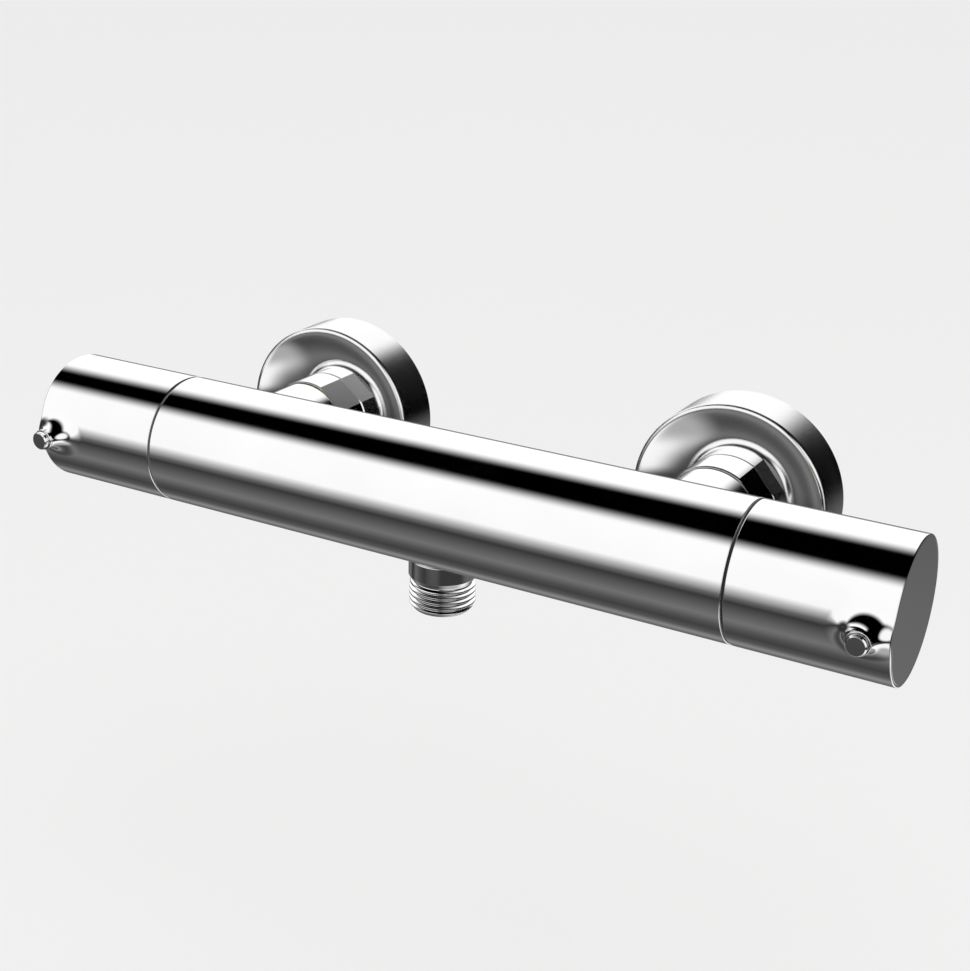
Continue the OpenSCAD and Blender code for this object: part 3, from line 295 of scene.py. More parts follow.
class Shell:
    """Grids of points with outward normals, joined along the points that they share."""

    def __init__(self):
        self.points, self.normals, self.quads, self.count = [], [], [], 0

    def add(self, points, normals, keep=None):
        """Adds a grid. Its cells are turned to face along the normals; keep leaves some out."""
        rows, columns = points.shape[:2]
        normals = np.broadcast_to(normals, points.shape)
        index = self.count + np.arange(rows * columns).reshape(rows, columns)
        quads = np.stack(
            [index[:-1, :-1], index[1:, :-1], index[1:, 1:], index[:-1, 1:]], axis=-1
        )
        quads = quads[keep] if keep is not None else quads.reshape(-1, 4)
        corners = points.reshape(-1, 3)[quads - self.count]
        facing = np.cross(corners[:, 2] - corners[:, 0], corners[:, 3] - corners[:, 1])
        wanted = normals.reshape(-1, 3)[quads - self.count].sum(axis=1)
        if (facing * wanted).sum() < 0:
            quads = quads[:, ::-1]
        self.points.append(points.reshape(-1, 3))
        self.normals.append(normals.reshape(-1, 3))
        self.quads.append(quads)
        self.count += rows * columns

    def add_triangles(self, a, b, c, normal):
        """Adds loose triangles that face along one normal, as cells with a doubled corner."""
        away = (np.cross(b - a, c - a) * normal).sum(axis=-1) < 0
        a, b = np.where(away[:, None], b, a), np.where(away[:, None], a, b)
        count = len(a)
        index = self.count + np.arange(3 * count).reshape(3, count)
        self.points.append(np.concatenate([a, b, c]))
        self.normals.append(np.broadcast_to(normal, (3 * count, 3)))
        self.quads.append(np.stack([index[0], index[1], index[2], index[2]], axis=-1))
        self.count += 3 * count

    def mesh(self, name):
        """Joins the grids: points that coincide become one vertex, and cells that shrink to
        a triangle or to nothing are written as such."""
        points, quads = np.concatenate(self.points), np.concatenate(self.quads)
        normals = np.concatenate(self.normals)
        key = np.floor(points / WELD + WELD_SHIFT).astype(np.int64)
        _, first, weld = np.unique(key, axis=0, return_index=True, return_inverse=True)
        corners = weld.reshape(-1)[quads]
        differs = corners != np.roll(corners, 1, axis=1)
        crossed = (corners[:, 0] == corners[:, 2]) | (corners[:, 1] == corners[:, 3])
        whole = differs.all(axis=1) & ~crossed
        three = (differs.sum(axis=1) == 3) & ~crossed
        picked = differs[three]
        triangles = corners[three][picked].reshape(-1, 3)
        faces = corners[whole].tolist() + triangles.tolist()
        corner_normals = np.concatenate(
            [normals[quads[whole]].reshape(-1, 3), normals[quads[three]][picked]]
        )
        mesh = bpy.data.meshes.new(name)
        mesh.from_pydata(points[first], [], faces, shade_flat=False)
        check_closed(mesh, name)
        mesh.normals_split_custom_set(corner_normals)
        return mesh


def check_closed(mesh, name):
    """Each edge of a closed mesh is used once in each direction."""
    start = np.empty(len(mesh.loops), np.int64)
    mesh.loops.foreach_get("vertex_index", start)
    first = np.empty(len(mesh.polygons), np.int64)
    total = np.empty(len(mesh.polygons), np.int64)
    mesh.polygons.foreach_get("loop_start", first)
    mesh.polygons.foreach_get("loop_total", total)
    following = np.arange(len(start)) + 1
    following[first + total - 1] = first
    stop = start[following]
    count = len(mesh.vertices)
    forward, backward = np.sort(start * count + stop), np.sort(stop * count + start)
    if len(np.unique(forward)) != len(forward) or not np.array_equal(forward, backward):
        raise RuntimeError(f"{name}: its surfaces don't close")


def unit(vectors):
    """Vectors scaled to length one."""
    return vectors / np.maximum(np.linalg.norm(vectors, axis=-1, keepdims=True), TINY)


def outline(*corners, closed=False):
    """Section of a turned surface, as corners of radius and distance along the axis, walked
    with the metal on the left. A third number rounds its corner with an arc that touches
    both sides. Gives one run of points and outward directions for each side and arc."""
    places = [np.array(c[:2], float) for c in corners]
    cuts = []
    for k, corner in enumerate(corners):
        place = places[k]
        inner = closed or 0 < k < len(corners) - 1
        if len(corner) < 3 or not inner:
            cuts.append((place, place, None))
            continue
        before = unit(place - places[k - 1])
        after = unit(places[(k + 1) % len(corners)] - place)
        turn = math.atan2(before[0] * after[1] - before[1] * after[0], before @ after)
        reach = corner[2] * math.tan(abs(turn) / 2)
        hand = math.copysign(1, turn)
        centre = place - before * reach + hand * corner[2] * np.array([-before[1], before[0]])
        steps = max(2, math.ceil(abs(turn) / ARC_STEP))
        spoke = place - before * reach - centre
        angles = math.atan2(spoke[1], spoke[0]) + turn * np.linspace(0, 1, steps + 1)
        spokes = np.stack([np.cos(angles), np.sin(angles)], axis=1)
        arc = (centre + corner[2] * spokes, hand * spokes)
        cuts.append((place - before * reach, place + after * reach, arc))
    runs = []
    for k in range(len(corners) if closed else len(corners) - 1):
        first, last = cuts[k][1], cuts[(k + 1) % len(corners)][0]
        step = last - first
        if np.linalg.norm(step) > WELD:
            outward = unit(np.array([step[1], -step[0]]))
            runs.append((np.array([first, last]), np.array([outward, outward])))
        if cuts[(k + 1) % len(corners)][2] is not None:
            runs.append(cuts[(k + 1) % len(corners)][2])
    return runs


def around(sides=SMALL_SIDES, start=0.0):
    """Angles of a full turn, the last one the same direction as the first."""
    return start + np.linspace(0, 2 * math.pi, sides + 1)


def stretches(places, steps):
    """Stations through some places, with a number of even steps from each to the next."""
    runs = [np.linspace(a, b, n + 1)[1:] for a, b, n in zip(places, places[1:], steps)]
    return np.concatenate([places[:1], *runs])


def turned(shell, axis, runs, angles):
    """Carries each run of a section round an axis."""
    for points, outward in runs:
        shell.add(
            axis.point(points[:, :1], points[:, 1:], angles),
            axis.vector(outward[:, :1], outward[:, 1:], angles),
        )


def slope_normals(place, rows, columns, outside):
    """Normals of a surface given as a function of two parameters, from its small steps both
    ways. All lie on the side that outside points to over most of the surface."""
    along = place(rows + SLOPE_STEP, columns) - place(rows - SLOPE_STEP, columns)
    across = place(rows, columns + SLOPE_STEP) - place(rows, columns - SLOPE_STEP)
    normals = unit(np.cross(along, across))
    return normals * np.sign((normals * outside).sum())


def edge_walk(block):
    """Row and column of each grid point around a block, back to the first."""
    i0, i1, j0, j1 = block
    rows = np.concatenate([
        np.arange(i0, i1), np.full(j1 - j0, i1), np.arange(i1, i0, -1), np.full(j1 - j0 + 1, i0)
    ])
    columns = np.concatenate([
        np.full(i1 - i0, j0), np.arange(j0, j1), np.full(i1 - i0, j1), np.arange(j1, j0 - 1, -1)
    ])
    return rows, columns


def skin(shell, axis, radius, stations, angles, blocks=(), hand=1):
    """A cylinder's skin on a grid of stations and angles, less the blocks left for ports."""
    keep = np.ones((len(stations) - 1, len(angles) - 1), bool)
    for i0, i1, j0, j1 in blocks:
        keep[i0:i1, j0:j1] = False
    shell.add(
        axis.point(radius, stations[:, None], angles),
        np.broadcast_to(axis.vector(hand, 0, angles), (len(stations), len(angles), 3)),
        keep,
    )


def port(shell, axis, radius, stations, angles, block, centre, rim, hand=1, rows=8):
    """Fills a block of a skin from its edge in to a rim around a crossing axis. Each ray runs
    straight over the unrolled cylinder, from an edge point to the rim point in the same
    direction. Gives those directions and the rim's height on the crossing axis."""
    i, j = edge_walk(block)
    away, swing = stations[i] - centre[0], angles[j] - centre[1]
    direction = np.arctan2(radius * np.sin(swing), away)
    reach = rim(direction) if callable(rim) else np.full_like(direction, rim)
    share = np.linspace(0, 1, rows + 1)[:, None]
    rim_swing = np.arcsin(reach * np.sin(direction) / radius)
    distance = centre[0] + away + share * (reach * np.cos(direction) - away)
    angle = centre[1] + swing + share * (rim_swing - swing)
    shell.add(axis.point(radius, distance, angle), axis.vector(hand, 0, angle))
    return direction, radius * np.cos(rim_swing)


def bridge(shell, axis, height, radii, directions, normal):
    """Flat ring between two circles whose points don't match: the steps of both are taken in
    order of angle, and each makes a triangle with the other circle's last point."""
    turns = [np.unique(np.round(np.mod(d, 2 * math.pi), 9)) for d in directions]
    for this, other, side in ((0, 1, "left"), (1, 0, "right")):
        apex = turns[other][np.searchsorted(turns[other], turns[this], side=side) - 1]
        shell.add_triangles(
            axis.point(radii[this], height, np.roll(turns[this], 1)),
            axis.point(radii[this], height, turns[this]),
            axis.point(radii[other], height, apex), normal,
        )


def link(name, data):
    """Puts a mesh, a lamp or a camera in the scene as an object."""
    made = bpy.data.objects.new(name, data)
    bpy.context.scene.collection.objects.link(made)
    return made


def place_piece(name, shell, nodes, finish):
    """Puts a closed shell in the scene in place of its CAD nodes."""
    piece = link(name, shell.mesh(name))
    piece.data.materials.append(bpy.data.materials[finish])
    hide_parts(*nodes)
    return piece


def finish_piece(name, shell, body, nodes, finish="chrome_plating"):
    """Puts a closed shell in the scene, on its body and in place of its CAD nodes."""
    piece = place_piece(name, shell, nodes, finish)
    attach(piece, body)
    return piece


# Body


# Half of a port for a stub and for the outlet: along the bar, and in sides around it.
STUB_HALF, STUB_STEPS = 19 * MM, 34
OUTLET_HALF, OUTLET_STEPS = 15 * MM, 24
BODY_STEPS = 15, 21, 38, 3      # steps from the middle to the ports' edges and a seam
STUB_ROWS = 6
SOCKET_R, SOCKET_Y = 11 * MM, 22 * MM
INLET_BORE_R, INLET_FLOOR = 6.5 * MM, 14 * MM
SPIGOT_R, MOUTH_R, MOUTH_DEPTH = 17.6 * MM, 14.6 * MM, 12 * MM
# Bores, as radius and distance along the bar or down the outlet, in millimetres.
THERMOSTAT_STEPS = ((13, 91.6), (13, 64.5), (10.5, 64.5), (10.5, 47), (0, 47))
HEADWORK_STEPS = ((16.45, 103.6), (16.45, 101.6), (14.6, 101.6), (14.6, 91.6), (11, 91.6),
                  (11, 79.5), (0, 79.5))
RING_SEAT_R, RING_SEAT_Z = 10.6 * MM, 17.1 * MM
OUTLET_STEPS_IN = ((10.6, 17.1), (9.05, 17.1), (9.05, 14.6), (7, 14.6), (7, 8.2), (0, 8.2))


def millimetres(corners):
    """Corners written in millimetres, in metres."""
    return [tuple(v * MM for v in corner) for corner in corners]


def stub(shell, sizes, side, directions):
    """Inlet stub: a hollow fillet, then a plain tube with its socket. The fillet's curve goes
    from a point on the bar to one up the stub, drawn in by the stub's foot: it weighs the
    three by the square of the rest, the square of the share and twice the two's product."""
    axis, radius, fillet = inlet_axis(side), sizes.stub_r, sizes.stub_fillet

    def on_bar(reach, direction):
        up = reach * np.sin(direction)
        return axis.plan(reach * np.cos(direction), up, np.sqrt(sizes.bar_r**2 - up**2))

    def hollow(share, direction):
        share = np.asarray(share)[..., None]
        foot = on_bar(radius, direction)
        return (
            (1 - share) ** 2 * on_bar(radius + fillet, direction)
            + 2 * share * (1 - share) * foot + share**2 * (foot + fillet * axis.along)
        )

    rows = np.linspace(0, 1, STUB_ROWS + 1)[:, None]
    outside = axis.vector(1, 1, directions)
    shell.add(hollow(rows, directions), slope_normals(hollow, rows, directions, outside))
    foot = np.sqrt(sizes.bar_r**2 - (radius * np.sin(directions)) ** 2) + fillet
    top = sizes.stub_end - sizes.stub_round
    heights = np.stack([foot, np.full_like(foot, top)])
    shell.add(axis.point(radius, heights, directions), axis.vector(1, 0, directions))
    turned(shell, axis, outline(
        (radius, top), (radius, sizes.stub_end, sizes.stub_round), (SOCKET_R, sizes.stub_end),
        (SOCKET_R, SOCKET_Y), (INLET_BORE_R, SOCKET_Y), (INLET_BORE_R, INLET_FLOOR),
        (0, INLET_FLOOR),
    ), directions)


def outlet_recess(shell, sizes, directions, rims):
    """Round recess under the bar, whose flat floor runs out at the bar's front and back."""
    axis = outlet_axis()
    reach = recess_reach(sizes)(directions)
    floor = np.minimum(rims, sizes.recess_z)
    shell.add(
        axis.point(reach, np.stack([rims, floor]), directions), axis.vector(-1, 0, directions)
    )
    shell.add(
        axis.point(np.stack([reach, np.full_like(reach, RING_SEAT_R)]), floor, directions),
        axis.along,
    )
    heights = np.stack([floor, np.full_like(floor, RING_SEAT_Z)])
    shell.add(
        axis.point(RING_SEAT_R, heights, directions), axis.vector(-1, 0, directions)
    )
    turned(shell, axis, outline(*millimetres(OUTLET_STEPS_IN)), directions)


def recess_reach(sizes):
    """Reach of the outlet recess in a direction: its own radius, or where its floor meets
    the bar's surface, but never inside the seat of the O-ring."""
    edge = math.sqrt(sizes.bar_r**2 - sizes.recess_z**2)

    def reach(direction):
        run_out = edge / np.maximum(np.abs(np.sin(direction)), TINY)
        return np.clip(run_out, RING_SEAT_R, sizes.recess_r)

    return reach


class VALVE_OT_body(bpy.types.Operator):
    """Makes the body: the bar's skin, two inlet stubs, the outlet's recess and both mouths"""

    bl_idname = "valve.body"
    bl_label = "Body"

    def execute(self, context):
        sizes = context.scene.valve_bar
        shell, axis = Shell(), bar_axis()
        angles = around(BAR_SIDES, -math.pi)
        middle = BAR_SIDES // 2
        end = sizes.body_end - sizes.edge_round
        inner, outer = sizes.inlet_x - STUB_HALF, sizes.inlet_x + STUB_HALF
        half = stretches((0, OUTLET_HALF, inner, outer, end), BODY_STEPS)
        stations = np.concatenate([-half[:0:-1], half])

        def block(low, high, centre, steps):
            first, last = (int(np.abs(stations - v).argmin()) for v in (low, high))
            return first, last, centre - steps, centre + steps

        below = middle - BAR_SIDES // 4
        blocks = {
            side: block(*sorted((side * inner, side * outer)), middle, STUB_STEPS)
            for side in INLETS.values()
        }
        under = block(-OUTLET_HALF, OUTLET_HALF, below, OUTLET_STEPS)
        skin(shell, axis, sizes.bar_r, stations, angles, [*blocks.values(), under])
        for side, place in blocks.items():
            directions, _ = port(
                shell, axis, sizes.bar_r, stations, angles, place,
                (side * sizes.inlet_x, 0.0), sizes.stub_r + sizes.stub_fillet,
            )
            stub(shell, sizes, side, directions)
        directions, rims = port(
            shell, axis, sizes.bar_r, stations, angles, under,
            (0.0, -math.pi / 2), recess_reach(sizes),
        )
        outlet_recess(shell, sizes, directions, rims)
        mouth_end = sizes.spigot_end - MOUTH_DEPTH
        for end_name, steps in (("flow", HEADWORK_STEPS), ("temperature", THERMOSTAT_STEPS)):
            mouth = [] if end_name == "flow" else [
                (MOUTH_R, sizes.spigot_end), (MOUTH_R, mouth_end)
            ]
            turned(shell, bar_axis(ENDS[end_name]), outline(
                (sizes.bar_r, end), (sizes.bar_r, sizes.body_end, sizes.edge_round),
                (SPIGOT_R, sizes.body_end), (SPIGOT_R, sizes.spigot_end),
                *mouth, *millimetres(steps),
            ), angles)
        finish_piece("body_shell", shell, "valve", ["valve_body"])
        return {"FINISHED"}


# Handles, end caps and lever pins


CAP_X, WEB_X, WEB_END = 145.6 * MM, 112.8 * MM, 116.8 * MM
HUB_R, HUB_BORE_R, HUB_FLOOR, HUB_END = 12.8 * MM, 10.05 * MM, 121.4 * MM, 123.4 * MM
SCREW_HOLE_R, BOSS_R, BOSS_FOOT, STUD_R = 2.7 * MM, 5 * MM, 14.43 * MM, 2.45 * MM
STUD_HOLE_R, SEAT_R = 2.5 * MM, 3 * MM
# Half of the block around a flare and around a boss: along the bar, and in sides around it.
FLARE_ROOM, FLARE_STEPS = 13 * MM, 16
BOSS_ROOM, BOSS_STEPS = 5.6 * MM, 12
HANDLE_STEPS = 13, 17           # steps from the seam to the flare's block and the end
INSIDE_STEPS = 7, 11, 1         # steps from the web to the boss's block, its end and the cap
FLARE_ROWS, FOOT_ROWS, EDGE_ROWS, BOSS_ROWS = 24, 6, 4, 4
CAP_PLAY, PLUG_R, PLUG_IN_R, PLUG_LEN = 0.05 * MM, 18.8 * MM, 16.6 * MM, 3 * MM
CAP_ROUND, NOTCH_STEPS = 0.1 * MM, 9
STUD_FOOT, PIN_BEVEL, PIN_SOFT, PIN_FINE = 14.93 * MM, 0.4 * MM, 0.2 * MM, 0.08 * MM


class Flare:
    """Hollow flare that a ball leaves when it rolls around the pin's neck and on the bar. The
    ball's middle stands at the neck's radius plus its own from the pin's axis, and at the
    bar's radius plus its own from the bar's axis. Between its two touching points the
    surface is an arc of the ball. The pin's seat cuts the arcs that rise above it, and the
    handle's end those that reach past it."""

    def __init__(self, bar_r, neck, radius, limit, top):
        self.radius, self.limit, self.top = radius, limit, top
        self.out, self.high = neck + radius, bar_r + radius
        self.flatter = bar_r / self.high

    def turn_at(self, away, up):
        """The ball's direction around the pin whose foot lies towards a place on the bar."""
        return np.arctan2(up / self.flatter, away)

    def corner(self):
        """Angle around the bar at which the ball's foot meets the handle's end."""
        return math.asin(self.out * math.sin(math.acos(self.limit / self.out)) / self.high)

    def arc(self, turn):
        """The lean of the ball's middle, the angle between its touching points, and the two
        angles between which the pin's seat and the handle's end leave the arc."""
        lean = np.arcsin(self.out * np.sin(turn) / self.high)
        sweep = np.arccos(np.sin(turn) * np.sin(lean))
        past = np.maximum(self.out * np.cos(turn) - self.limit, 0) > WELD
        weight = (self.out - self.limit / np.where(past, np.cos(turn), 1)) / self.radius
        cut = np.arcsin(np.clip(weight * np.sin(sweep), -1, 1))
        above = (self.high - self.top / np.cos(lean)) / self.radius
        first = np.arcsin(np.clip(above * np.sin(sweep), 0, 1))
        return lean, sweep, first, sweep - np.where(past, cut, 0)

    def place(self, share, turn):
        """Point on the flare, from its neck (0) to its foot or the handle's end (1)."""
        lean, sweep, first, last = self.arc(turn)
        swing = first + share * (last - first)
        to_neck = np.sin(sweep - swing) / np.sin(sweep) * self.radius
        to_bar = np.sin(swing) / np.sin(sweep) * self.radius
        out = self.out - to_neck
        up = out * np.sin(turn) - to_bar * np.sin(lean)
        return out * np.cos(turn), up, (self.high - to_bar) * np.cos(lean)


def handle_flare(shell, flare, sizes, bar_r, pin, axis, stations, angles, block):
    """Fills the block around a pin with its flare, up to the pin's seat, and the skin around
    the flare's foot. Gives the flare's directions around the pin, and the rim that it leaves
    in the block's columns where the handle ends."""
    i, j = edge_walk(block)
    away, swing = stations[i] - sizes.pin_x, angles[j] - math.pi
    turn = flare.turn_at(away, bar_r * np.sin(swing))
    rows = np.linspace(0, 1, FLARE_ROWS + 1)[:, None]

    def spot(share, turn):
        return pin.plan(*flare.place(share, turn))

    shell.add(spot(rows, turn), slope_normals(spot, rows, turn, pin.vector(1, 1, turn)))
    neck_away, neck_up, neck_high = flare.place(0, turn)
    heights = np.stack([neck_high, np.full_like(neck_high, flare.top)])
    shell.add(pin.plan(neck_away, neck_up, heights), pin.vector(1, 0, turn))
    shell.add(np.stack([
        pin.plan(neck_away, neck_up, flare.top), pin.point(SEAT_R, flare.top, turn)
    ]), pin.along)
    foot_away, foot_up, foot_high = flare.place(1, turn)
    share = np.linspace(0, 1, FOOT_ROWS + 1)[:, None]
    distance = sizes.pin_x + away + share * (foot_away - away)
    angle = math.pi + swing + share * (np.arctan2(foot_up, foot_high) - swing)
    ends = i == block[1]
    raised = ends & (bar_r * (flare.corner() - np.abs(swing)) > WELD)
    keep = np.broadcast_to(~(raised[:-1] | raised[1:]), (len(share) - 1, len(i) - 1))
    shell.add(axis.point(bar_r, distance, angle), axis.vector(1, 0, angle), keep)
    order = np.argsort(j[ends])
    up, high = (np.where(raised, v, w)[ends][order] for v, w in (
        (foot_up, bar_r * np.sin(swing)), (foot_high, bar_r * np.cos(swing))
    ))
    return turn, np.hypot(up, high), math.pi + np.arctan2(up, high)


def make_handle(sizes, bar_r, end):
    """Shell of a handle: outside it the skin, the flare and the cap's seat, inside it the
    pin's boss, the web and the hub. The edge around its end is a quarter circle."""
    shell, axis, pin = Shell(), bar_axis(end), pin_axis(end)
    edge = bpy.context.scene.valve_bar.edge_round
    angles, front = around(BAR_SIDES), BAR_SIDES // 2
    line = sizes.end - sizes.end_round
    stations = stretches((sizes.start + edge, sizes.pin_x - FLARE_ROOM, line), HANDLE_STEPS)
    top = sizes.pin_tip - sizes.pin_head - sizes.pin_groove - sizes.pin_collar
    flare = Flare(bar_r, sizes.flare_neck_r, sizes.flare_r, line - sizes.pin_x, top)
    corner = flare.corner()
    nearest = round(corner / (angles[1] - angles[0]))
    for hand in (-1, 1):
        angles[front + hand * nearest] = math.pi + hand * corner
    block = (HANDLE_STEPS[0], len(stations) - 1, front - FLARE_STEPS, front + FLARE_STEPS)
    skin(shell, axis, bar_r, stations, angles, [block])
    around_pin, rim_r, rim_angles = handle_flare(
        shell, flare, sizes, bar_r, pin, axis, stations, angles, block
    )
    radii, turns = np.full(len(angles), bar_r), angles.copy()
    radii[block[2]:block[3] + 1], turns[block[2]:block[3] + 1] = rim_r, rim_angles
    tilt = np.linspace(0, math.pi / 2, EDGE_ROWS + 1)[:, None]
    shell.add(
        axis.point(
            radii - sizes.end_round * (1 - np.cos(tilt)), line + sizes.end_round * np.sin(tilt),
            turns,
        ),
        axis.vector(np.cos(tilt), np.sin(tilt), turns),
    )
    seat_r = sizes.cap_r + CAP_PLAY
    shell.add(
        axis.point(
            np.stack([radii - sizes.end_round, np.full_like(radii, seat_r)]), sizes.end,
            np.stack([turns, angles]),
        ),
        axis.along,
    )
    turned(shell, axis, outline(
        (seat_r, sizes.end), (seat_r, CAP_X), (sizes.shell_r, CAP_X)
    ), angles)
    inside = stretches(
        (WEB_END, sizes.pin_x - BOSS_ROOM, sizes.pin_x + BOSS_ROOM, CAP_X), INSIDE_STEPS
    )
    boss = (
        INSIDE_STEPS[0], sum(INSIDE_STEPS[:2]), front - BOSS_STEPS, front + BOSS_STEPS
    )
    skin(shell, axis, sizes.shell_r, inside, angles, [boss], hand=-1)
    in_boss, heights = port(
        shell, axis, sizes.shell_r, inside, angles, boss, (sizes.pin_x, math.pi), BOSS_R,
        hand=-1, rows=BOSS_ROWS,
    )
    shell.add(
        pin.point(BOSS_R, np.stack([heights, np.full_like(heights, BOSS_FOOT)]), in_boss),
        pin.vector(1, 0, in_boss),
    )
    turned(shell, pin, outline(
        (STUD_HOLE_R, top), (STUD_HOLE_R, BOSS_FOOT), (BOSS_R, BOSS_FOOT)
    ), in_boss)
    bridge(shell, pin, top, (SEAT_R, STUD_HOLE_R), (around_pin, in_boss), pin.along)
    turned(shell, axis, outline(
        (sizes.shell_r, WEB_END), (HUB_R, WEB_END), (HUB_R, HUB_END), (SCREW_HOLE_R, HUB_END),
        (SCREW_HOLE_R, HUB_FLOOR), (HUB_BORE_R, HUB_FLOOR), (HUB_BORE_R, WEB_X),
        (sizes.shell_r, WEB_X), (sizes.shell_r, sizes.start), (bar_r, sizes.start, edge),
        (bar_r, sizes.start + edge),
    ), angles)
    return shell


class VALVE_OT_handles(bpy.types.Operator):
    """Makes both handles, each with the flare that carries its lever pin"""

    bl_idname = "valve.handles"
    bl_label = "Handles"

    def execute(self, context):
        scene = context.scene
        for name, end in ENDS.items():
            shell = make_handle(scene.valve_handles, scene.valve_bar.bar_r, end)
            finish_piece(f"{name}_handle_shell", shell, f"{name}_control", [f"{name}_handle"])
        return {"FINISHED"}


class VALVE_OT_end_caps(bpy.types.Operator):
    """Makes the flat caps in the handles' ends, whose plugs leave room for the bosses"""

    bl_idname = "valve.end_caps"
    bl_label = "End Caps"

    def execute(self, context):
        sizes = context.scene.valve_handles
        angles, front = around(BAR_SIDES), BAR_SIDES // 2
        first, last = front - NOTCH_STEPS, front + NOTCH_STEPS
        notch = angles[first:last + 1]
        plug = np.concatenate([angles[last:], angles[1:first + 1]])
        plug_x = CAP_X - PLUG_LEN
        for name, end in ENDS.items():
            shell, axis = Shell(), bar_axis(end)
            turned(shell, axis, outline((0, CAP_X), (PLUG_IN_R, CAP_X)), angles)
            turned(shell, axis, outline((PLUG_IN_R, CAP_X), (PLUG_R, CAP_X)), notch)
            turned(shell, axis, outline(
                (PLUG_R, CAP_X), (sizes.cap_r, CAP_X), (sizes.cap_r, sizes.end, CAP_ROUND),
                (0, sizes.end),
            ), angles)
            turned(shell, axis, outline(
                (PLUG_IN_R, CAP_X), (PLUG_IN_R, plug_x), (PLUG_R, plug_x), (PLUG_R, CAP_X)
            ), plug)
            for place, hand in ((first, 1), (last, -1)):
                radii, depths = np.array([[PLUG_IN_R], [PLUG_R]]), np.array([plug_x, CAP_X])
                shell.add(
                    axis.point(radii, depths, angles[place]),
                    axis.vector(hand, 0, angles[place] + math.pi / 2),
                )
            finish_piece(f"{name}_cap", shell, f"{name}_control", [f"{name}_end_cap"])
        return {"FINISHED"}


class VALVE_OT_lever_pins(bpy.types.Operator):
    """Makes the two turned lever pins: stud, collar, groove and bevelled head"""

    bl_idname = "valve.lever_pins"
    bl_label = "Lever Pins"

    def execute(self, context):
        sizes = context.scene.valve_handles
        tip = sizes.pin_tip
        head = tip - sizes.pin_head
        collar = head - sizes.pin_groove
        seat = collar - sizes.pin_collar
        section = outline(
            (0, STUD_FOOT), (STUD_R, STUD_FOOT, PIN_SOFT), (STUD_R, seat),
            (sizes.pin_collar_r, seat, PIN_SOFT), (sizes.pin_collar_r, collar, PIN_SOFT),
            (sizes.pin_groove_r, collar, PIN_FINE), (sizes.pin_groove_r, head, PIN_FINE),
            (sizes.pin_head_r, head, PIN_FINE), (sizes.pin_head_r, tip - PIN_BEVEL, PIN_FINE),
            (sizes.pin_head_r - PIN_BEVEL, tip, PIN_FINE), (0, tip),
        )
        for name, end in ENDS.items():
            shell = Shell()
            turned(shell, pin_axis(end), section, around())
            finish_piece(f"{name}_pin", shell, f"{name}_control", [f"{name}_lever_pin"])
        return {"FINISHED"}


# Nuts, rosettes, unions and outlet


NUT_ROUND, NUT_LIP_R, NUT_LIP = 0.1 * MM, 10.6 * MM, 2.5 * MM
NECK_PLAY, RIM_BEVEL, RIM_ROUND = 0.05 * MM, 0.5 * MM, 1.3 * MM
PLATE_WALL, PLATE_FLOOR, PLATE_CHAMFER, FLAT_END = 1.6 * MM, 57 * MM, 2 * MM, 53.5 * MM
LIP_ROUND = 0.1 * MM
FLAT_STEPS, ROUND_STEPS, FLAT_ROW = 28, 52, 0.5 * MM    # the last is a flat's longest row
FILLET_ROWS, DISH_ROWS = 7, 40
DISH_POWER = 1.5      # 1 for a bowl, 2 for a straight cone


def with_rows(runs, longest):
    """The same runs, with straight ones cut into steps of at most a given length."""
    finer = []
    for points, outward in runs:
        steps = math.ceil(np.linalg.norm(points[-1] - points[0]) / longest)
        if len(points) == 2 and steps > 1:
            share = np.linspace(0, 1, steps + 1)[:, None]
            points = points[0] + share * (points[1] - points[0])
            outward = np.repeat(outward[:1], steps + 1, axis=0)
        finer.append((points, outward))
    return finer


def flat_sections(radii, half, tilt):
    """Cuts circles by two opposite flats. On a flat the reach is the half distance over the
    angle's cosine, up to where that is the radius. Gives, for each flat and each round
    stretch, the angles and reaches of its points, and the flat's direction or None."""
    radii = np.asarray(radii, float)
    edge = np.arccos(np.minimum(half / radii, 1))
    parts = []
    for turn in (tilt, tilt + math.pi):
        swing = edge * np.linspace(-1, 1, FLAT_STEPS + 1)
        parts.append((turn + swing, np.minimum(half / np.cos(swing), radii), turn))
        share = np.linspace(0, 1, ROUND_STEPS + 1)
        angles = turn + edge + share * (math.pi - 2 * edge)
        parts.append((angles, np.broadcast_to(radii, angles.shape), None))
    return parts


def flat_loop(radius, half, tilt):
    """Angles and reaches all around one circle cut by two flats."""
    parts = flat_sections(np.array([[radius]]), half, tilt)
    angles = np.concatenate([p[0][0, :-1] for p in parts] + [parts[0][0][0, :1] + 2 * math.pi])
    reach = np.concatenate([p[1][0, :-1] for p in parts] + [parts[0][1][0, :1]])
    return angles, reach


def flatted(shell, axis, runs, half, tilt):
    """Carries runs round an axis, cut by the two flats."""
    for points, outward in with_rows(runs, FLAT_ROW):
        for angles, reach, flat in flat_sections(points[:, :1], half, tilt):
            if flat is None:
                normals = axis.vector(outward[:, :1], outward[:, 1:], angles)
            else:
                normals = axis.vector(1, 0, flat)
            shell.add(axis.point(reach, points[:, 1:], angles), normals)


def cut_ring(shell, axis, loop, radius, distance, hand):
    """Flat end between a circle cut by flats and a bore."""
    angles, reach = loop
    shell.add(
        axis.point(np.stack([reach, np.full_like(reach, radius)]), distance, angles),
        hand * axis.along,
    )


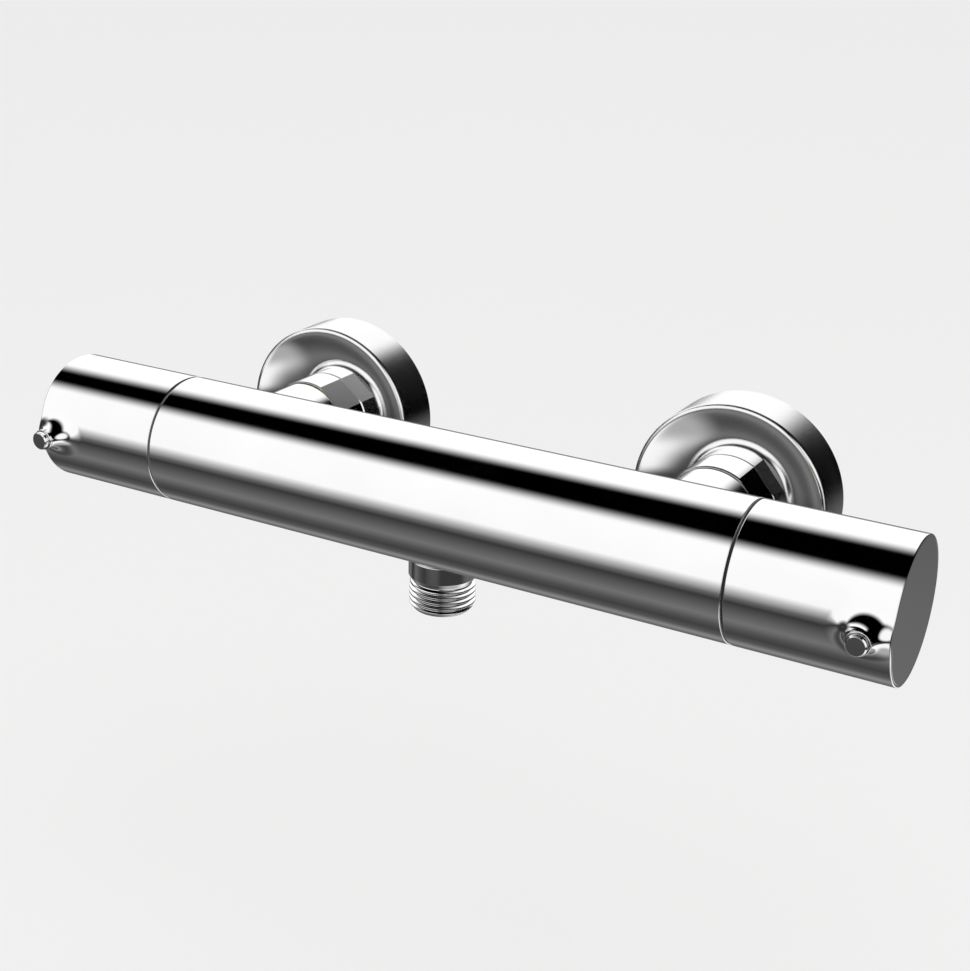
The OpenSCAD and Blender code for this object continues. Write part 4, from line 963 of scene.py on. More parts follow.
class VALVE_OT_union_nuts(bpy.types.Operator):
    """Makes the two union nuts, each with a pair of wrench flats"""

    bl_idname = "valve.union_nuts"
    bl_label = "Union Nuts"

    def execute(self, context):
        sizes = context.scene.valve_unions
        front, back, bevel = sizes.nut_front, sizes.nut_back, sizes.nut_bevel
        runs = outline(
            (sizes.thread_r, front), (sizes.nut_r - bevel, front, NUT_ROUND),
            (sizes.nut_r, front + bevel, NUT_ROUND), (sizes.nut_r, back - bevel, NUT_ROUND),
            (sizes.nut_r - bevel, back, NUT_ROUND), (sizes.thread_r, back),
        )
        lip = front + NUT_LIP
        for name, side in INLETS.items():
            tilt = getattr(sizes, f"{name}_tilt")
            shell, axis = Shell(), inlet_axis(side)
            flatted(shell, axis, runs[1:-1], sizes.half_flat, tilt)
            loop = flat_loop(runs[1][0][0, 0], sizes.half_flat, tilt)
            cut_ring(shell, axis, loop, NUT_LIP_R, front, -1)
            cut_ring(shell, axis, loop, sizes.thread_r, back, 1)
            turned(shell, axis, outline(
                (sizes.thread_r, back), (sizes.thread_r, lip), (NUT_LIP_R, lip),
                (NUT_LIP_R, front),
            ), loop[0])
            finish_piece(f"{name}_nut", shell, "valve", [f"union_nut_{name}"])
        return {"FINISHED"}


def rosette_front(sizes):
    """Front of a rosette as two runs of points: the neck and its fillet as far as the flats
    reach, then the rest of the fillet. The fillet is a quarter circle."""
    radius = sizes.neck_fillet
    centre = np.array([sizes.nut_r + radius, sizes.rim_y + sizes.dish_depth - radius])
    stop = math.acos((FLAT_END - centre[1]) / radius)

    def arc(first, last):
        turn = np.linspace(first, last, FILLET_ROWS + 1)
        spokes = np.stack([-np.sin(turn), np.cos(turn)], axis=1)
        return centre + radius * spokes, -spokes

    return arc(math.pi / 2, stop), arc(stop, 0)


def rosette_dish(sizes):
    """Hollow of a rosette, near to a cone with round ends: the width goes as the cosine and
    the depth as the sine, each to the same power, from the fillet's foot to the rim. The
    outward direction goes by the same cosine and sine to two less that power."""
    foot = sizes.nut_r + sizes.neck_fillet
    width = sizes.plate_r - sizes.rim_width - foot
    depth = sizes.dish_depth - RIM_BEVEL
    turn = np.linspace(math.pi / 2, 0, DISH_ROWS + 1)
    cosine, sine = np.cos(turn).clip(0), np.sin(turn)
    points = np.stack([
        foot + width * cosine**DISH_POWER,
        sizes.rim_y + RIM_BEVEL + depth * sine**DISH_POWER,
    ], axis=1)
    spread = np.stack([cosine, sine], axis=1)**(2 - DISH_POWER)
    return points, -unit(spread / (width, depth))


class VALVE_OT_rosettes(bpy.types.Operator):
    """Makes the two wall rosettes: neck with flats, fillet, dish, rim and hollow back"""

    bl_idname = "valve.rosettes"
    bl_label = "Rosettes"

    def execute(self, context):
        sizes = context.scene.valve_unions
        front, bevel = sizes.nut_back + NECK_PLAY, sizes.nut_bevel
        neck = outline(
            (sizes.thread_r, front), (sizes.nut_r - bevel, front, NUT_ROUND),
            (sizes.nut_r, front + bevel, NUT_ROUND),
            (sizes.nut_r, sizes.rim_y + sizes.dish_depth - sizes.neck_fillet),
        )
        to_flats, to_dish = rosette_front(sizes)
        wall = -CAD["axis_y"]
        inner = sizes.plate_r - PLATE_WALL
        lip = inner, sizes.rim_y + RIM_BEVEL
        rim = outline(
            lip, (inner + RIM_BEVEL / 4, sizes.rim_y, LIP_ROUND),
            (sizes.plate_r, sizes.rim_y, RIM_ROUND), (sizes.plate_r, wall),
            (inner, wall), (inner, PLATE_FLOOR - PLATE_CHAMFER),
            (inner - PLATE_CHAMFER, PLATE_FLOOR), (sizes.thread_r, PLATE_FLOOR),
        )
        for name, side in INLETS.items():
            tilt = getattr(sizes, f"{name}_tilt")
            shell, axis = Shell(), inlet_axis(side)
            flatted(shell, axis, [*neck[1:], to_flats], sizes.half_flat, tilt)
            near = flat_loop(neck[1][0][0, 0], sizes.half_flat, tilt)
            far = flat_loop(to_dish[0][0, 0], sizes.half_flat, tilt)
            cut_ring(shell, axis, near, sizes.thread_r, front, -1)
            radii = np.stack([far[1], np.full_like(far[1], to_dish[0][0, 0])])
            shell.add(axis.point(radii, FLAT_END, far[0]), -axis.along)
            turned(shell, axis, [to_dish, rosette_dish(sizes), *rim], far[0])
            bore = np.stack([far[0], near[0]]), np.array([[PLATE_FLOOR], [front]])
            shell.add(
                axis.point(sizes.thread_r, bore[1], bore[0]), axis.vector(-1, 0, bore[0])
            )
            finish_piece(
                f"{name}_rosette", shell, "valve", [f"rosette_{name}"], "turned_chrome"
            )
        return {"FINISHED"}


THREAD_ROWS = 20            # rows of a thread's surface in one pitch
WAVE_PAST = 1.3             # times that the wave is too high before its tips are cut off
WAVE_ROUND = 0.995          # just under 1, so that the wave has no sharp corner
FADE = 0.8                  # pitches over which a thread fades at its ends
THREAD_STEP = 1e-6          # step either way by which a thread's slopes are taken


def pipe_thread(shell, axis, sizes, start, stop, angles):
    """Pipe thread between two distances along an axis. Its rows climb one pitch in a turn, so
    they follow the thread. The radius swings between root and crest by the sine of a triangle
    wave that is cut off at both tips, and fades to the root at both ends."""
    pitch, depth = sizes.pitch, sizes.thread_depth
    root, fine = sizes.crest_r - depth, THREAD_ROWS
    steps = math.ceil((stop - start) / pitch * fine) + fine + 1
    rows = start + pitch * (np.arange(steps) / fine - 1)

    def radius(distance, angle):
        phase = 2 * math.pi * (distance - start) / pitch - angle
        swing = WAVE_PAST * np.arcsin(WAVE_ROUND * np.cos(phase))
        wave = 0.5 + 0.5 * np.sin(np.clip(swing, -math.pi / 2, math.pi / 2))
        ends = np.minimum(distance - start, stop - distance) / (FADE * pitch)
        return root + depth * wave * np.clip(ends, 0, 1)

    distance = np.clip(rows[:, None] + pitch * angles / (2 * math.pi), start, stop)
    reach, step = radius(distance, angles), THREAD_STEP
    climb = (radius(distance + step, angles) - radius(distance - step, angles)) / (2 * step)
    swing = (radius(distance, angles + step) - radius(distance, angles - step)) / (2 * step)
    normals = (
        axis.vector(1, -climb, angles)
        - (swing / reach)[..., None] * axis.vector(1, 0, angles + math.pi / 2)
    )
    shell.add(axis.point(reach, distance, angles), unit(normals))


COLLAR_TOP, COLLAR_END, COLLAR_FOOT = 18.6 * MM, 24.6 * MM, 26 * MM
OUTLET_SPIGOT_R, OUTLET_SPIGOT_TOP, OUTLET_BORE_R = 9 * MM, 14.8 * MM, 7 * MM
UNDERCUT_R, COLLAR_BEVEL, NOSE = 9.9 * MM, 0.5 * MM, 0.4 * MM
COLLAR_ROUND, FOOT_ROUND, NOSE_ROUND = 0.2 * MM, 0.15 * MM, 0.1 * MM


class VALVE_OT_outlet(bpy.types.Operator):
    """Makes the outlet nipple: bevelled collar, undercut and half-inch thread"""

    bl_idname = "valve.outlet"
    bl_label = "Outlet"

    def execute(self, context):
        sizes = context.scene.valve_unions
        shell, axis, angles = Shell(), outlet_axis(), around()
        root, stop = sizes.crest_r - sizes.thread_depth, sizes.outlet_end - NOSE
        turned(shell, axis, outline(
            (OUTLET_BORE_R, OUTLET_SPIGOT_TOP),
            (OUTLET_SPIGOT_R, OUTLET_SPIGOT_TOP, COLLAR_ROUND), (OUTLET_SPIGOT_R, COLLAR_TOP),
            (sizes.collar_r - COLLAR_BEVEL, COLLAR_TOP, NOSE_ROUND),
            (sizes.collar_r, COLLAR_TOP + COLLAR_BEVEL, COLLAR_ROUND),
            (sizes.collar_r, COLLAR_END, COLLAR_ROUND), (UNDERCUT_R, COLLAR_FOOT, FOOT_ROUND),
            (root, COLLAR_FOOT),
        ), angles)
        pipe_thread(shell, axis, sizes, COLLAR_FOOT, stop, angles)
        turned(shell, axis, outline(
            (root, stop), (root - NOSE, sizes.outlet_end, NOSE_ROUND),
            (OUTLET_BORE_R, sizes.outlet_end, COLLAR_ROUND), (OUTLET_BORE_R, OUTLET_SPIGOT_TOP),
        ), angles)
        finish_piece("outlet", shell, "valve", ["outlet_nipple"])
        return {"FINISHED"}


EASE_STEPS = 14


def eased(rows):
    """Stations of a tube, each radius, rise and distance along the axis. Between two rows
    whose radius or rise differ, both change by the smooth step 3t^2 - 2t^3."""
    stations = [rows[0]]
    for before, after in zip(rows, rows[1:]):
        before, after = np.array(before), np.array(after)
        share = np.linspace(0, 1, EASE_STEPS + 1)[1:, None]
        soft = share**2 * (3 - 2 * share)
        moved = np.hstack([soft, soft, share]) * (after - before) + before
        stations.extend(moved if np.any(before[:2] != after[:2]) else [after])
    return np.array(stations)


def tube(shell, axis, stations, angles, hand=1):
    """A round tube through stations of radius, rise and distance. Its normal leans back along
    the axis by the slope of the radius plus the slope of the rise times the angle's sine."""
    radius, rise, distance = (column[:, None] for column in stations.T)
    slope = np.gradient(stations[:, 0], stations[:, 2])[:, None]
    lean = np.gradient(stations[:, 1], stations[:, 2])[:, None]
    points = axis.point(radius, distance, angles) + rise[..., None] * axis.up
    shell.add(points, hand * unit(axis.vector(1, -slope - lean * np.sin(angles), angles)))


def level(shell, axis, inner, outer, distance, angles, hand):
    """Flat ring between two circles, each a radius and a rise."""
    pairs = np.array([inner, outer])
    points = axis.point(pairs[:, :1], distance, angles) + pairs[:, 1:, None] * axis.up
    shell.add(points, hand * axis.along)


UNION_FRONT_R, UNION_FRONT, UNION_STEP = 12.64 * MM, 39.4 * MM, (56.9 * MM, 58.4 * MM)
BARREL_R, BARREL_RISE, BARREL_END = 13.8 * MM, 3 * MM, 61.8 * MM
THREAD_START, THREAD_STOP, THREAD_NOSE_END = 61.9 * MM, 76.6 * MM, 77 * MM
WATER_FRONT_R, WATER_BACK_R, WATER_TURN = 8 * MM, 7 * MM, (52 * MM, 61 * MM)


class VALVE_OT_eccentric_unions(bpy.types.Operator):
    """Makes the brass eccentric unions: a stepped barrel and a raised thread for the wall"""

    bl_idname = "valve.eccentric_unions"
    bl_label = "Eccentric Unions"

    def execute(self, context):
        sizes = context.scene.valve_unions
        rise, angles = sizes.rise, around()
        root = sizes.crest_r - sizes.thread_depth
        nose = root - NOSE
        outside = eased([
            (UNION_FRONT_R, 0, UNION_FRONT), (UNION_FRONT_R, 0, UNION_STEP[0]),
            (BARREL_R, BARREL_RISE, UNION_STEP[1]), (BARREL_R, BARREL_RISE, BARREL_END),
        ])
        water = eased([
            (WATER_FRONT_R, 0, UNION_FRONT), (WATER_FRONT_R, 0, WATER_TURN[0]),
            (WATER_BACK_R, rise, WATER_TURN[1]), (WATER_BACK_R, rise, THREAD_NOSE_END),
        ])
        for name, side in INLETS.items():
            shell, axis, raised = Shell(), inlet_axis(side), inlet_axis(side, rise)
            level(
                shell, axis, (WATER_FRONT_R, 0), (UNION_FRONT_R, 0), UNION_FRONT, angles, -1
            )
            tube(shell, axis, outside, angles)
            level(
                shell, axis, (root, rise), (BARREL_R, BARREL_RISE), BARREL_END, angles, 1
            )
            turned(shell, raised, outline((root, BARREL_END), (root, THREAD_START)), angles)
            pipe_thread(shell, raised, sizes, THREAD_START, THREAD_STOP, angles)
            turned(shell, raised, outline(
                (root, THREAD_STOP), (nose, THREAD_NOSE_END), (WATER_BACK_R, THREAD_NOSE_END)
            ), angles)
            tube(shell, axis, water, angles, hand=-1)
            finish_piece(
                f"{name}_union", shell, "valve", [f"eccentric_union_{name}"],
                "turned_brass",
            )
        return {"FINISHED"}


# Springs


COIL_ROWS, COIL_SIDES = 24, 10      # rows of a spring's wire in one turn, and its sides
PRESS_STEPS = 64
CHECK_COILS, CHECK_WIRE_R, CHECK_LIFT = 4, 0.22 * MM, 2.5 * MM
RETURN_COILS, RETURN_WIRE_R, REGULATOR_BACK = 5, 0.5 * MM, 1 * MM


def coil(axis, turns, coil_r, wire_r, start, stop, travel, hand):
    """Wound spring: a round wire whose middle climbs as it turns about the axis. Its turns
    lie evenly once it is pressed by its travel, when a point has moved by the travel times
    three squares less two cubes of the point's share of the height."""
    share = np.linspace(0, 1, PRESS_STEPS + 1)
    pressed = share - travel / (stop - start) * share**2 * (3 - 2 * share)
    even = np.linspace(0, 1, COIL_ROWS * turns + 1)
    climb = np.interp(even, pressed / pressed[-1], share)
    height = start + wire_r + (stop - start - 2 * wire_r) * climb[:, None]
    turn = hand * math.tau * turns * even[:, None]
    side = around(COIL_SIDES)[None, :]
    shell = Shell()
    shell.add(
        axis.point(coil_r + wire_r * np.cos(side), height + wire_r * np.sin(side), turn),
        axis.vector(np.cos(side), np.sin(side), turn),
    )
    for row, way in ((0, -hand), (-1, hand)):
        wire = wire_r * np.array([[1.0], [0.0]])
        shell.add(
            axis.point(
                coil_r + wire * np.cos(side), height[row] + wire * np.sin(side), turn[row]
            ),
            axis.vector(way, 0, turn[row] + math.pi / 2)[0],
        )
    return shell


class VALVE_OT_springs(bpy.types.Operator):
    """Makes the check valves' springs and the return spring, pressed by what they hold"""

    bl_idname = "valve.springs"
    bl_label = "Springs"

    def execute(self, context):
        check = CHECK_COILS, CHECK_WIRE_R, CHECK_LIFT, -1
        springs = [(
            f"{name}_check_coil", f"check_spring_{name}", f"{name}_check", inlet_axis(side),
            *check,
        ) for name, side in INLETS.items()]
        springs.append((
            "return_coil", "return_spring", "regulator", bar_axis(),
            RETURN_COILS, RETURN_WIRE_R, REGULATOR_BACK, 1,
        ))
        for name, node, held, axis, turns, wire_r, travel, hand in springs:
            low, high = (np.array(corner) - axis.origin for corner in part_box(node))
            start, stop = low @ axis.along, high @ axis.along
            coil_r = (high - low) @ axis.up / 2 - wire_r
            shell = coil(axis, turns, coil_r, wire_r, start, stop, travel, hand)
            piece = place_piece(name, shell, [node], "spring_wire")
            seats = (tuple(axis.origin + place * axis.along) for place in (start, stop))
            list(seats)
            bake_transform(piece)
        return {"FINISHED"}


# Finishes


NOISE_LOW, NOISE_HIGH = 0.3, 0.7    # values of a noise between which a finish changes
# How tool marks lie: a pattern's stretch that leaves rings around the bar or an inlet.
ALONG_BAR, ALONG_INLET, EVERY_WAY = (1, 0.02, 0.02), (0.02, 1, 0.02), (1, 1, 1)
# Patterns, as the scale and the detail of a noise.
HAZE, WAVE, HAIRLINES, MARKS = (38, 4), (55, 2), (2600, 2), (5200, 2)
TARNISH, CLOUD, GRAIN_DETAIL, HAIRLINE_STRETCH = (120, 5), (95, 4), 3, (1, 0.15, 0.15)
# Reliefs, as depth and strength.
WAVE_RELIEF, HAIRLINE_RELIEF = (0.02 * MM, 0.25), (0.0006 * MM, 0.3)
MARK_RELIEF, TARNISH_RELIEF, GRAIN_STRENGTH = (0.006 * MM, 0.45), (0.03 * MM, 0.15), 0.5
# Darkest and lightest shade of a finish's colour, and its smoothest and roughest gloss.
CHROME_SHADES, METAL_SHADES, MOULDED_SHADES = (0.965, 1.01), (0.86, 1.05), (0.82, 1.1)
MIRROR_GLOSS, TURNED_GLOSS, BRASS_GLOSS = (0.035, 0.075), (0.16, 0.21), (0.22, 0.38)
SATIN_Y, SATIN = (-43 * MM, -37 * MM), 0.07     # towards the wall the chrome grows satin
TURNED_BLUR = {"Anisotropic": 0.85, "Anisotropic_Rotation": 0.25}
# Name, colour, smoothest and roughest gloss, and how the tool marks lie.
METALS = (
    ("drawn_copper", (0.72, 0.45, 0.3), 0.2, 0.36, ALONG_BAR),
    ("spring_wire", (0.6, 0.6, 0.62), 0.2, 0.34, EVERY_WAY),
    ("screw_steel", (0.53, 0.53, 0.55), 0.24, 0.4, ALONG_BAR),
)
# Name, colour, smoothest and roughest gloss, and the grain's scale and depth.
MOULDINGS = (
    ("seal_rubber", (0.03, 0.03, 0.03), 0.5, 0.66, 3200, 0.02 * MM),
    ("black_plastic", (0.022, 0.022, 0.022), 0.34, 0.48, 4200, 0.012 * MM),
    ("white_plastic", (0.8, 0.8, 0.77), 0.3, 0.42, 3800, 0.01 * MM),
    ("fired_ceramic", (0.88, 0.88, 0.86), 0.12, 0.22, 5000, 0.004 * MM),
)
SLOT_FINISHES = {
    "chrome": "chrome_plating", "brass": "turned_brass", "copper": "drawn_copper",
    "spring_steel": "spring_wire", "screw_steel": "screw_steel",
    "seal_rubber": "seal_rubber", "black_plastic": "black_plastic",
    "white_plastic": "white_plastic", "ceramic": "fired_ceramic",
}


class Nodes:
    """The nodes of a material or a world, with the sums and mixes that they need."""

    def __init__(self, owner):
        owner.use_nodes = True
        self.tree = owner.node_tree

    def node(self, kind, inputs=None, **settings):
        """Adds a node. Each input is a value or another node's output."""
        made = self.tree.nodes.new(kind)
        for key, value in settings.items():
            setattr(made, key, value)
        for key, value in (inputs or {}).items():
            if isinstance(value, bpy.types.NodeSocket):
                self.tree.links.new(value, made.inputs[key])
            else:
                made.inputs[key].default_value = value
        return made

    def maths(self, operation, *values):
        """The result of one operation on values or outputs."""
        return self.node(
            "ShaderNodeMath", dict(enumerate(values)), operation=operation
        ).outputs[0]

    def soft(self, value, low, high, at_low=0.0, at_high=1.0):
        """Goes smoothly from one level to another between two values."""
        return self.node("ShaderNodeMapRange", {
            "Value": value, "From Min": low, "From Max": high, "To Min": at_low,
            "To Max": at_high,
        }, interpolation_type="SMOOTHSTEP").outputs["Result"]

    def blend(self, share, first, second):
        """The first level where the share is 0, the second where it is 1."""
        return self.node(
            "ShaderNodeMix", {"Factor": share, "A": first, "B": second}
        ).outputs["Result"]

    def mix(self, share, first, second):
        """The first shader where the share is 0, the second where it is 1."""
        return self.node("ShaderNodeMixShader", {0: share, 1: first, 2: second}).outputs[0]


class Finish(Nodes):
    """One material's nodes, written from its coordinates to its shader."""

    def __init__(self, name, **sockets):
        self.material = bpy.data.materials.new(name)
        super().__init__(self.material)
        self.shader = self.tree.nodes["Principled BSDF"]
        for socket, value in sockets.items():
            self.shader.inputs[socket.replace("_", " ")].default_value = value
        self.place = self.node("ShaderNodeTexCoord").outputs["Object"]

    def set(self, socket, value):
        """Leads an output to one of the shader's sockets."""
        self.tree.links.new(value, self.shader.inputs[socket])

    def mottle(self, scale, detail, stretch=None):
        """Noise over the object, drawn out where a stretch is given for each axis."""
        place = self.place
        if stretch is not None:
            place = self.node("ShaderNodeMapping", {"Vector": place, "Scale": stretch}).outputs[0]
        return self.node(
            "ShaderNodeTexNoise", {"Vector": place, "Scale": scale, "Detail": detail}
        ).outputs["Fac"]

    def colour(self, pattern, base, shades):
        """Colour that runs between a darker and a lighter shade of a base colour."""
        ramp = self.node("ShaderNodeValToRGB", {"Fac": pattern})
        places = NOISE_LOW, NOISE_HIGH
        for stop, place, factor in zip(ramp.color_ramp.elements, places, shades):
            stop.position = place
            stop.color = (*(min(1.0, c * factor) for c in base), 1)
        self.set("Base Color", ramp.outputs["Color"])

    def gloss(self, pattern, smooth, rough, more=0.0):
        """Roughness between two values, with more of it where that is given."""
        spread = self.node("ShaderNodeMapRange", {
            "Value": pattern, "From Min": NOISE_LOW, "From Max": NOISE_HIGH,
            "To Min": smooth, "To Max": rough,
        }).outputs["Result"]
        self.set("Roughness", self.maths("ADD", spread, more))

    def relief(self, *layers):
        """Bumps laid over each other: each a pattern, a depth in metres and a strength."""
        normal = None
        for pattern, depth, strength in layers:
            inputs = {"Height": pattern, "Distance": depth, "Strength": strength}
            if normal is not None:
                inputs["Normal"] = normal
            normal = self.node("ShaderNodeBump", inputs).outputs["Normal"]
        self.set("Normal", normal)


def chrome(name, look, **sockets):
    """Chrome in its hazy colour. Gives its finish, the haze and the faint wave in it."""
    finish = Finish(name, Metallic=1.0, **sockets)
    haze = finish.mottle(*HAZE)
    finish.colour(haze, look.chrome, CHROME_SHADES)
    return finish, haze, (finish.mottle(*WAVE), *WAVE_RELIEF)


def chrome_plating(look):
    """Mirror chrome: wiped haze and fine hairlines, and a satin gloss towards the wall."""
    finish, haze, wave = chrome("chrome_plating", look)
    depth = finish.node("ShaderNodeSeparateXYZ", {0: finish.place}).outputs["Y"]
    finish.gloss(haze, *MIRROR_GLOSS, more=finish.soft(depth, *SATIN_Y, 0.0, SATIN))
    hairlines = finish.mottle(*HAIRLINES, HAIRLINE_STRETCH)
    finish.relief(wave, (hairlines, *HAIRLINE_RELIEF))


def turned_chrome(look):
    """Chrome over a turned face: its fine marks around the axis draw reflections out along
    the radius and leave them sharp around it."""
    finish, haze, wave = chrome("turned_chrome", look, **TURNED_BLUR)
    finish.gloss(haze, *TURNED_GLOSS)
    around_axis = finish.node("ShaderNodeTangent", direction_type="RADIAL", axis="Y")
    finish.set("Tangent", around_axis.outputs[0])
    finish.relief(wave)


def turned_metal(name, colour, smooth, rough, lie):
    """Machined metal: its tool marks are rings around one axis, or lie every way."""
    finish = Finish(name, Metallic=1.0)
    marks, tarnish = finish.mottle(*MARKS, lie), finish.mottle(*TARNISH)
    finish.colour(tarnish, colour, METAL_SHADES)
    finish.gloss(marks, smooth, rough)
    finish.relief((marks, *MARK_RELIEF), (tarnish, *TARNISH_RELIEF))


def moulded(name, colour, smooth, rough, grain_scale, depth):
    """Moulded or fired stuff: a cloudy colour and a fine grain in the surface."""
    finish = Finish(name)
    cloud, grain = finish.mottle(*CLOUD), finish.mottle(grain_scale, GRAIN_DETAIL)
    finish.colour(cloud, colour, MOULDED_SHADES)
    finish.gloss(grain, smooth, rough)
    finish.relief((grain, depth, GRAIN_STRENGTH))


class VALVE_OT_finishes(bpy.types.Operator):
    """Makes the finishes and gives each piece of the CAD model the one of its slot"""

    bl_idname = "valve.finishes"
    bl_label = "Finishes"

    def execute(self, context):
        look = context.scene.valve_look
        chrome_plating(look)
        turned_chrome(look)
        for ending, lie in (("", ALONG_INLET), ("_bar", ALONG_BAR)):
            turned_metal(f"turned_brass{ending}", look.brass, *BRASS_GLOSS, lie)
        for metal in METALS:
            turned_metal(*metal)
        for moulding in MOULDINGS:
            moulded(*moulding)
        for part in frame["record"]["subparts"]:
            finish = SLOT_FINISHES[part["material_slot"]]
            low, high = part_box(part["node"])
            on_bar = abs((low.y + high.y) / 2 - CAD["axis_y"]) < MM
            if finish == "turned_brass" and on_bar:     # turned around the bar's axis
                finish = "turned_brass_bar"
            mesh = frame["nodes"][part["node"]].data
            mesh.materials.clear()
            mesh.materials.append(bpy.data.materials[finish])
        return {"FINISHED"}


# Stage


# Brightness of the studio around the bar. Its angle is 0 at the front, 90 overhead, 180 at
# the wall and -90 below: a white front, and below it a dark floor with two paler strips.
ROOM = (
    (-180, 0.4), (-166, 0.06), (-157, 0.085), (-152, 0.135), (-132, 0.12), (-117, 0.24),
    (-103, 0.09), (-88, 0.05), (-76, 0.08), (-60, 0.165), (-46, 0.11), (-28, 0.037),
    (-20, 0.13), (-10, 0.48), (0, 0.97), (6, 1.05), (180, 1.05),
)
# The panels are given by a direction's own x, y and z, each from -1 to 1. A pair is where a
# soft edge begins and ends, or the two levels that a panel goes between.
FLAG_Z, FLAG_EDGE = (0.2, 0.3), (-0.24, 0.26)
FLAG_SHIFT, FLAG_HALF, FLAG_SPREAD, FLAG_REACH, LOWEST = 0.05, 0.6, 0.23, 3.0, 0.001
BEHIND, SIDE_SHIFT, SIDE_X, SIDE_Z = (0.0, 0.5), 0.16, (0.17, 0.43), (-0.1, -0.45)
SIDE_LEVELS = 0.04, 0.13
CARD_X, CARD_Y, CARD_Z = (-0.15, 0.15), (-0.75, -0.3), (-0.45, -0.6)
CARD_FADE, CARD_LEVELS = (-0.8, -0.95), (0.95, 0.4)
FAR_LEFT_X, FAR_LEFT_LEVEL = (-0.82, -0.97), 0.03
WINDOW, WINDOW_EDGE, WINDOW_LEVEL = (0.81, -0.53, 0.26), (0.8, 0.95), 0.95
WHITE, ROOM_LIGHT, EVEN_LIGHT = (1, 1, 1, 1), 1.16, 0.75


def room_level(studio, y, z):
    """Level of the room by the angle around the bar."""
    lift = studio.maths("ARCTAN2", z, studio.maths("MULTIPLY", y, -1.0))
    turn = studio.maths("ADD", studio.maths("DIVIDE", lift, 2 * math.pi), 0.5)
    ramp = studio.node("ShaderNodeValToRGB", {"Fac": turn})
    stops = ramp.color_ramp.elements
    stops.remove(stops[1])
    for k, (degrees, level) in enumerate(ROOM):
        stop = stops[0] if k == 0 else stops.new(0.5)
        stop.position = degrees / 360 + 0.5
        stop.color = (level, level, level, 1)
    return ramp.outputs["Color"]


def ceiling_flag(studio, x, y, z):
    """Light that a dark flag overhead leaves: none on the flag, all of it elsewhere. The flag
    runs along the bar on a flat ceiling, and its half width grows to the right."""
    height = studio.maths("MAXIMUM", z, LOWEST)
    shifted = studio.maths("ADD", studio.maths("DIVIDE", y, height), FLAG_SHIFT)
    along = studio.maths("MINIMUM", studio.maths("DIVIDE", x, height), FLAG_REACH)
    half_width = studio.maths("MULTIPLY_ADD", along, FLAG_SPREAD, FLAG_HALF)
    inside = studio.maths("SUBTRACT", studio.maths("ABSOLUTE", shifted), half_width)
    return studio.blend(studio.soft(z, *FLAG_Z), 1.0, studio.soft(inside, *FLAG_EDGE))


def dark_side(studio, x, y, z):
    """Share and level of the dark right-hand side, which is paler low down and at the wall."""
    behind = studio.soft(y, *BEHIND)
    level = studio.maths("MULTIPLY", studio.soft(z, *SIDE_Z), studio.blend(behind, *SIDE_LEVELS))
    return studio.soft(studio.maths("MULTIPLY_ADD", behind, SIDE_SHIFT, x), *SIDE_X), level


def floor_card(studio, x, y, z):
    """Share and level of a white card on the floor to the right, dimmer right below."""
    share = studio.maths("MULTIPLY", studio.soft(z, *CARD_Z), studio.soft(x, *CARD_X))
    share = studio.maths("MULTIPLY", share, studio.soft(y, *CARD_Y))
    return share, studio.soft(z, *CARD_FADE, *CARD_LEVELS)


def studio_world():
    """World in three answers: white for the camera, an even grey level for diffuse light, and
    for reflections a room of soft-edged panels."""
    world = bpy.data.worlds.new("Studio")
    bpy.context.scene.world = world
    world.cycles.sampling_method = "NONE"
    studio = Nodes(world)
    studio.tree.nodes.clear()
    way = studio.node("ShaderNodeTexCoord").outputs["Generated"]
    x, y, z = studio.node("ShaderNodeSeparateXYZ", {0: way}).outputs
    aim = studio.node(
        "ShaderNodeVectorMath", {0: way, 1: WINDOW}, operation="DOT_PRODUCT"
    ).outputs["Value"]
    level = studio.maths("MULTIPLY", room_level(studio, y, z), ceiling_flag(studio, x, y, z))
    for share, panel in (
        dark_side(studio, x, y, z), floor_card(studio, x, y, z),
        (studio.soft(x, *FAR_LEFT_X), FAR_LEFT_LEVEL),
        (studio.soft(aim, *WINDOW_EDGE), WINDOW_LEVEL),
    ):
        level = studio.blend(share, level, panel)
    room, even, white = (
        studio.node("ShaderNodeBackground", {"Color": colour, "Strength": strength}).outputs[0]
        for colour, strength in ((level, ROOM_LIGHT), (WHITE, EVEN_LIGHT), (WHITE, 1.0))
    )
    path = studio.node("ShaderNodeLightPath").outputs
    lit = studio.mix(path["Is Glossy Ray"], even, room)
    studio.node(
        "ShaderNodeOutputWorld", {"Surface": studio.mix(path["Is Camera Ray"], lit, white)}
    )


def camera_matrix(look):
    """Camera turned by its yaw from +Y, pitched down, then rolled about its view."""
    yaw, pitch, roll = look.aim
    ahead = Vector((
        -math.sin(yaw) * math.cos(pitch), math.cos(yaw) * math.cos(pitch), -math.sin(pitch)
    ))
    level_right = Vector((math.cos(yaw), math.sin(yaw), 0))
    level_up = level_right.cross(ahead)
    right = math.cos(roll) * level_right + math.sin(roll) * level_up
    up = -math.sin(roll) * level_right + math.cos(roll) * level_up
    turn = Matrix((right, up, -ahead)).transposed().to_4x4()
    return Matrix.Translation(look.eye) @ turn


FLOOR_HALF = 30.0      # metres; the floor reaches past every view
FLOOR_GLOW = 0.6       # share of the floor that glows where the camera sees it
FLOOR_CLOUD, FLOOR_GRAIN = (1.2, 3), (40, 3)
FLOOR_RELIEF, FLOOR_SHADES = (0.5 * MM, 0.1), (0.99, 1)
LAMP_PLACE, LAMP_SIZE, LAMP_WATTS = (0.5, -0.7, 1.6), (1.6, 1.2), 7.0
SENSOR, CLIP = 36.0, (0.01, 100.0)


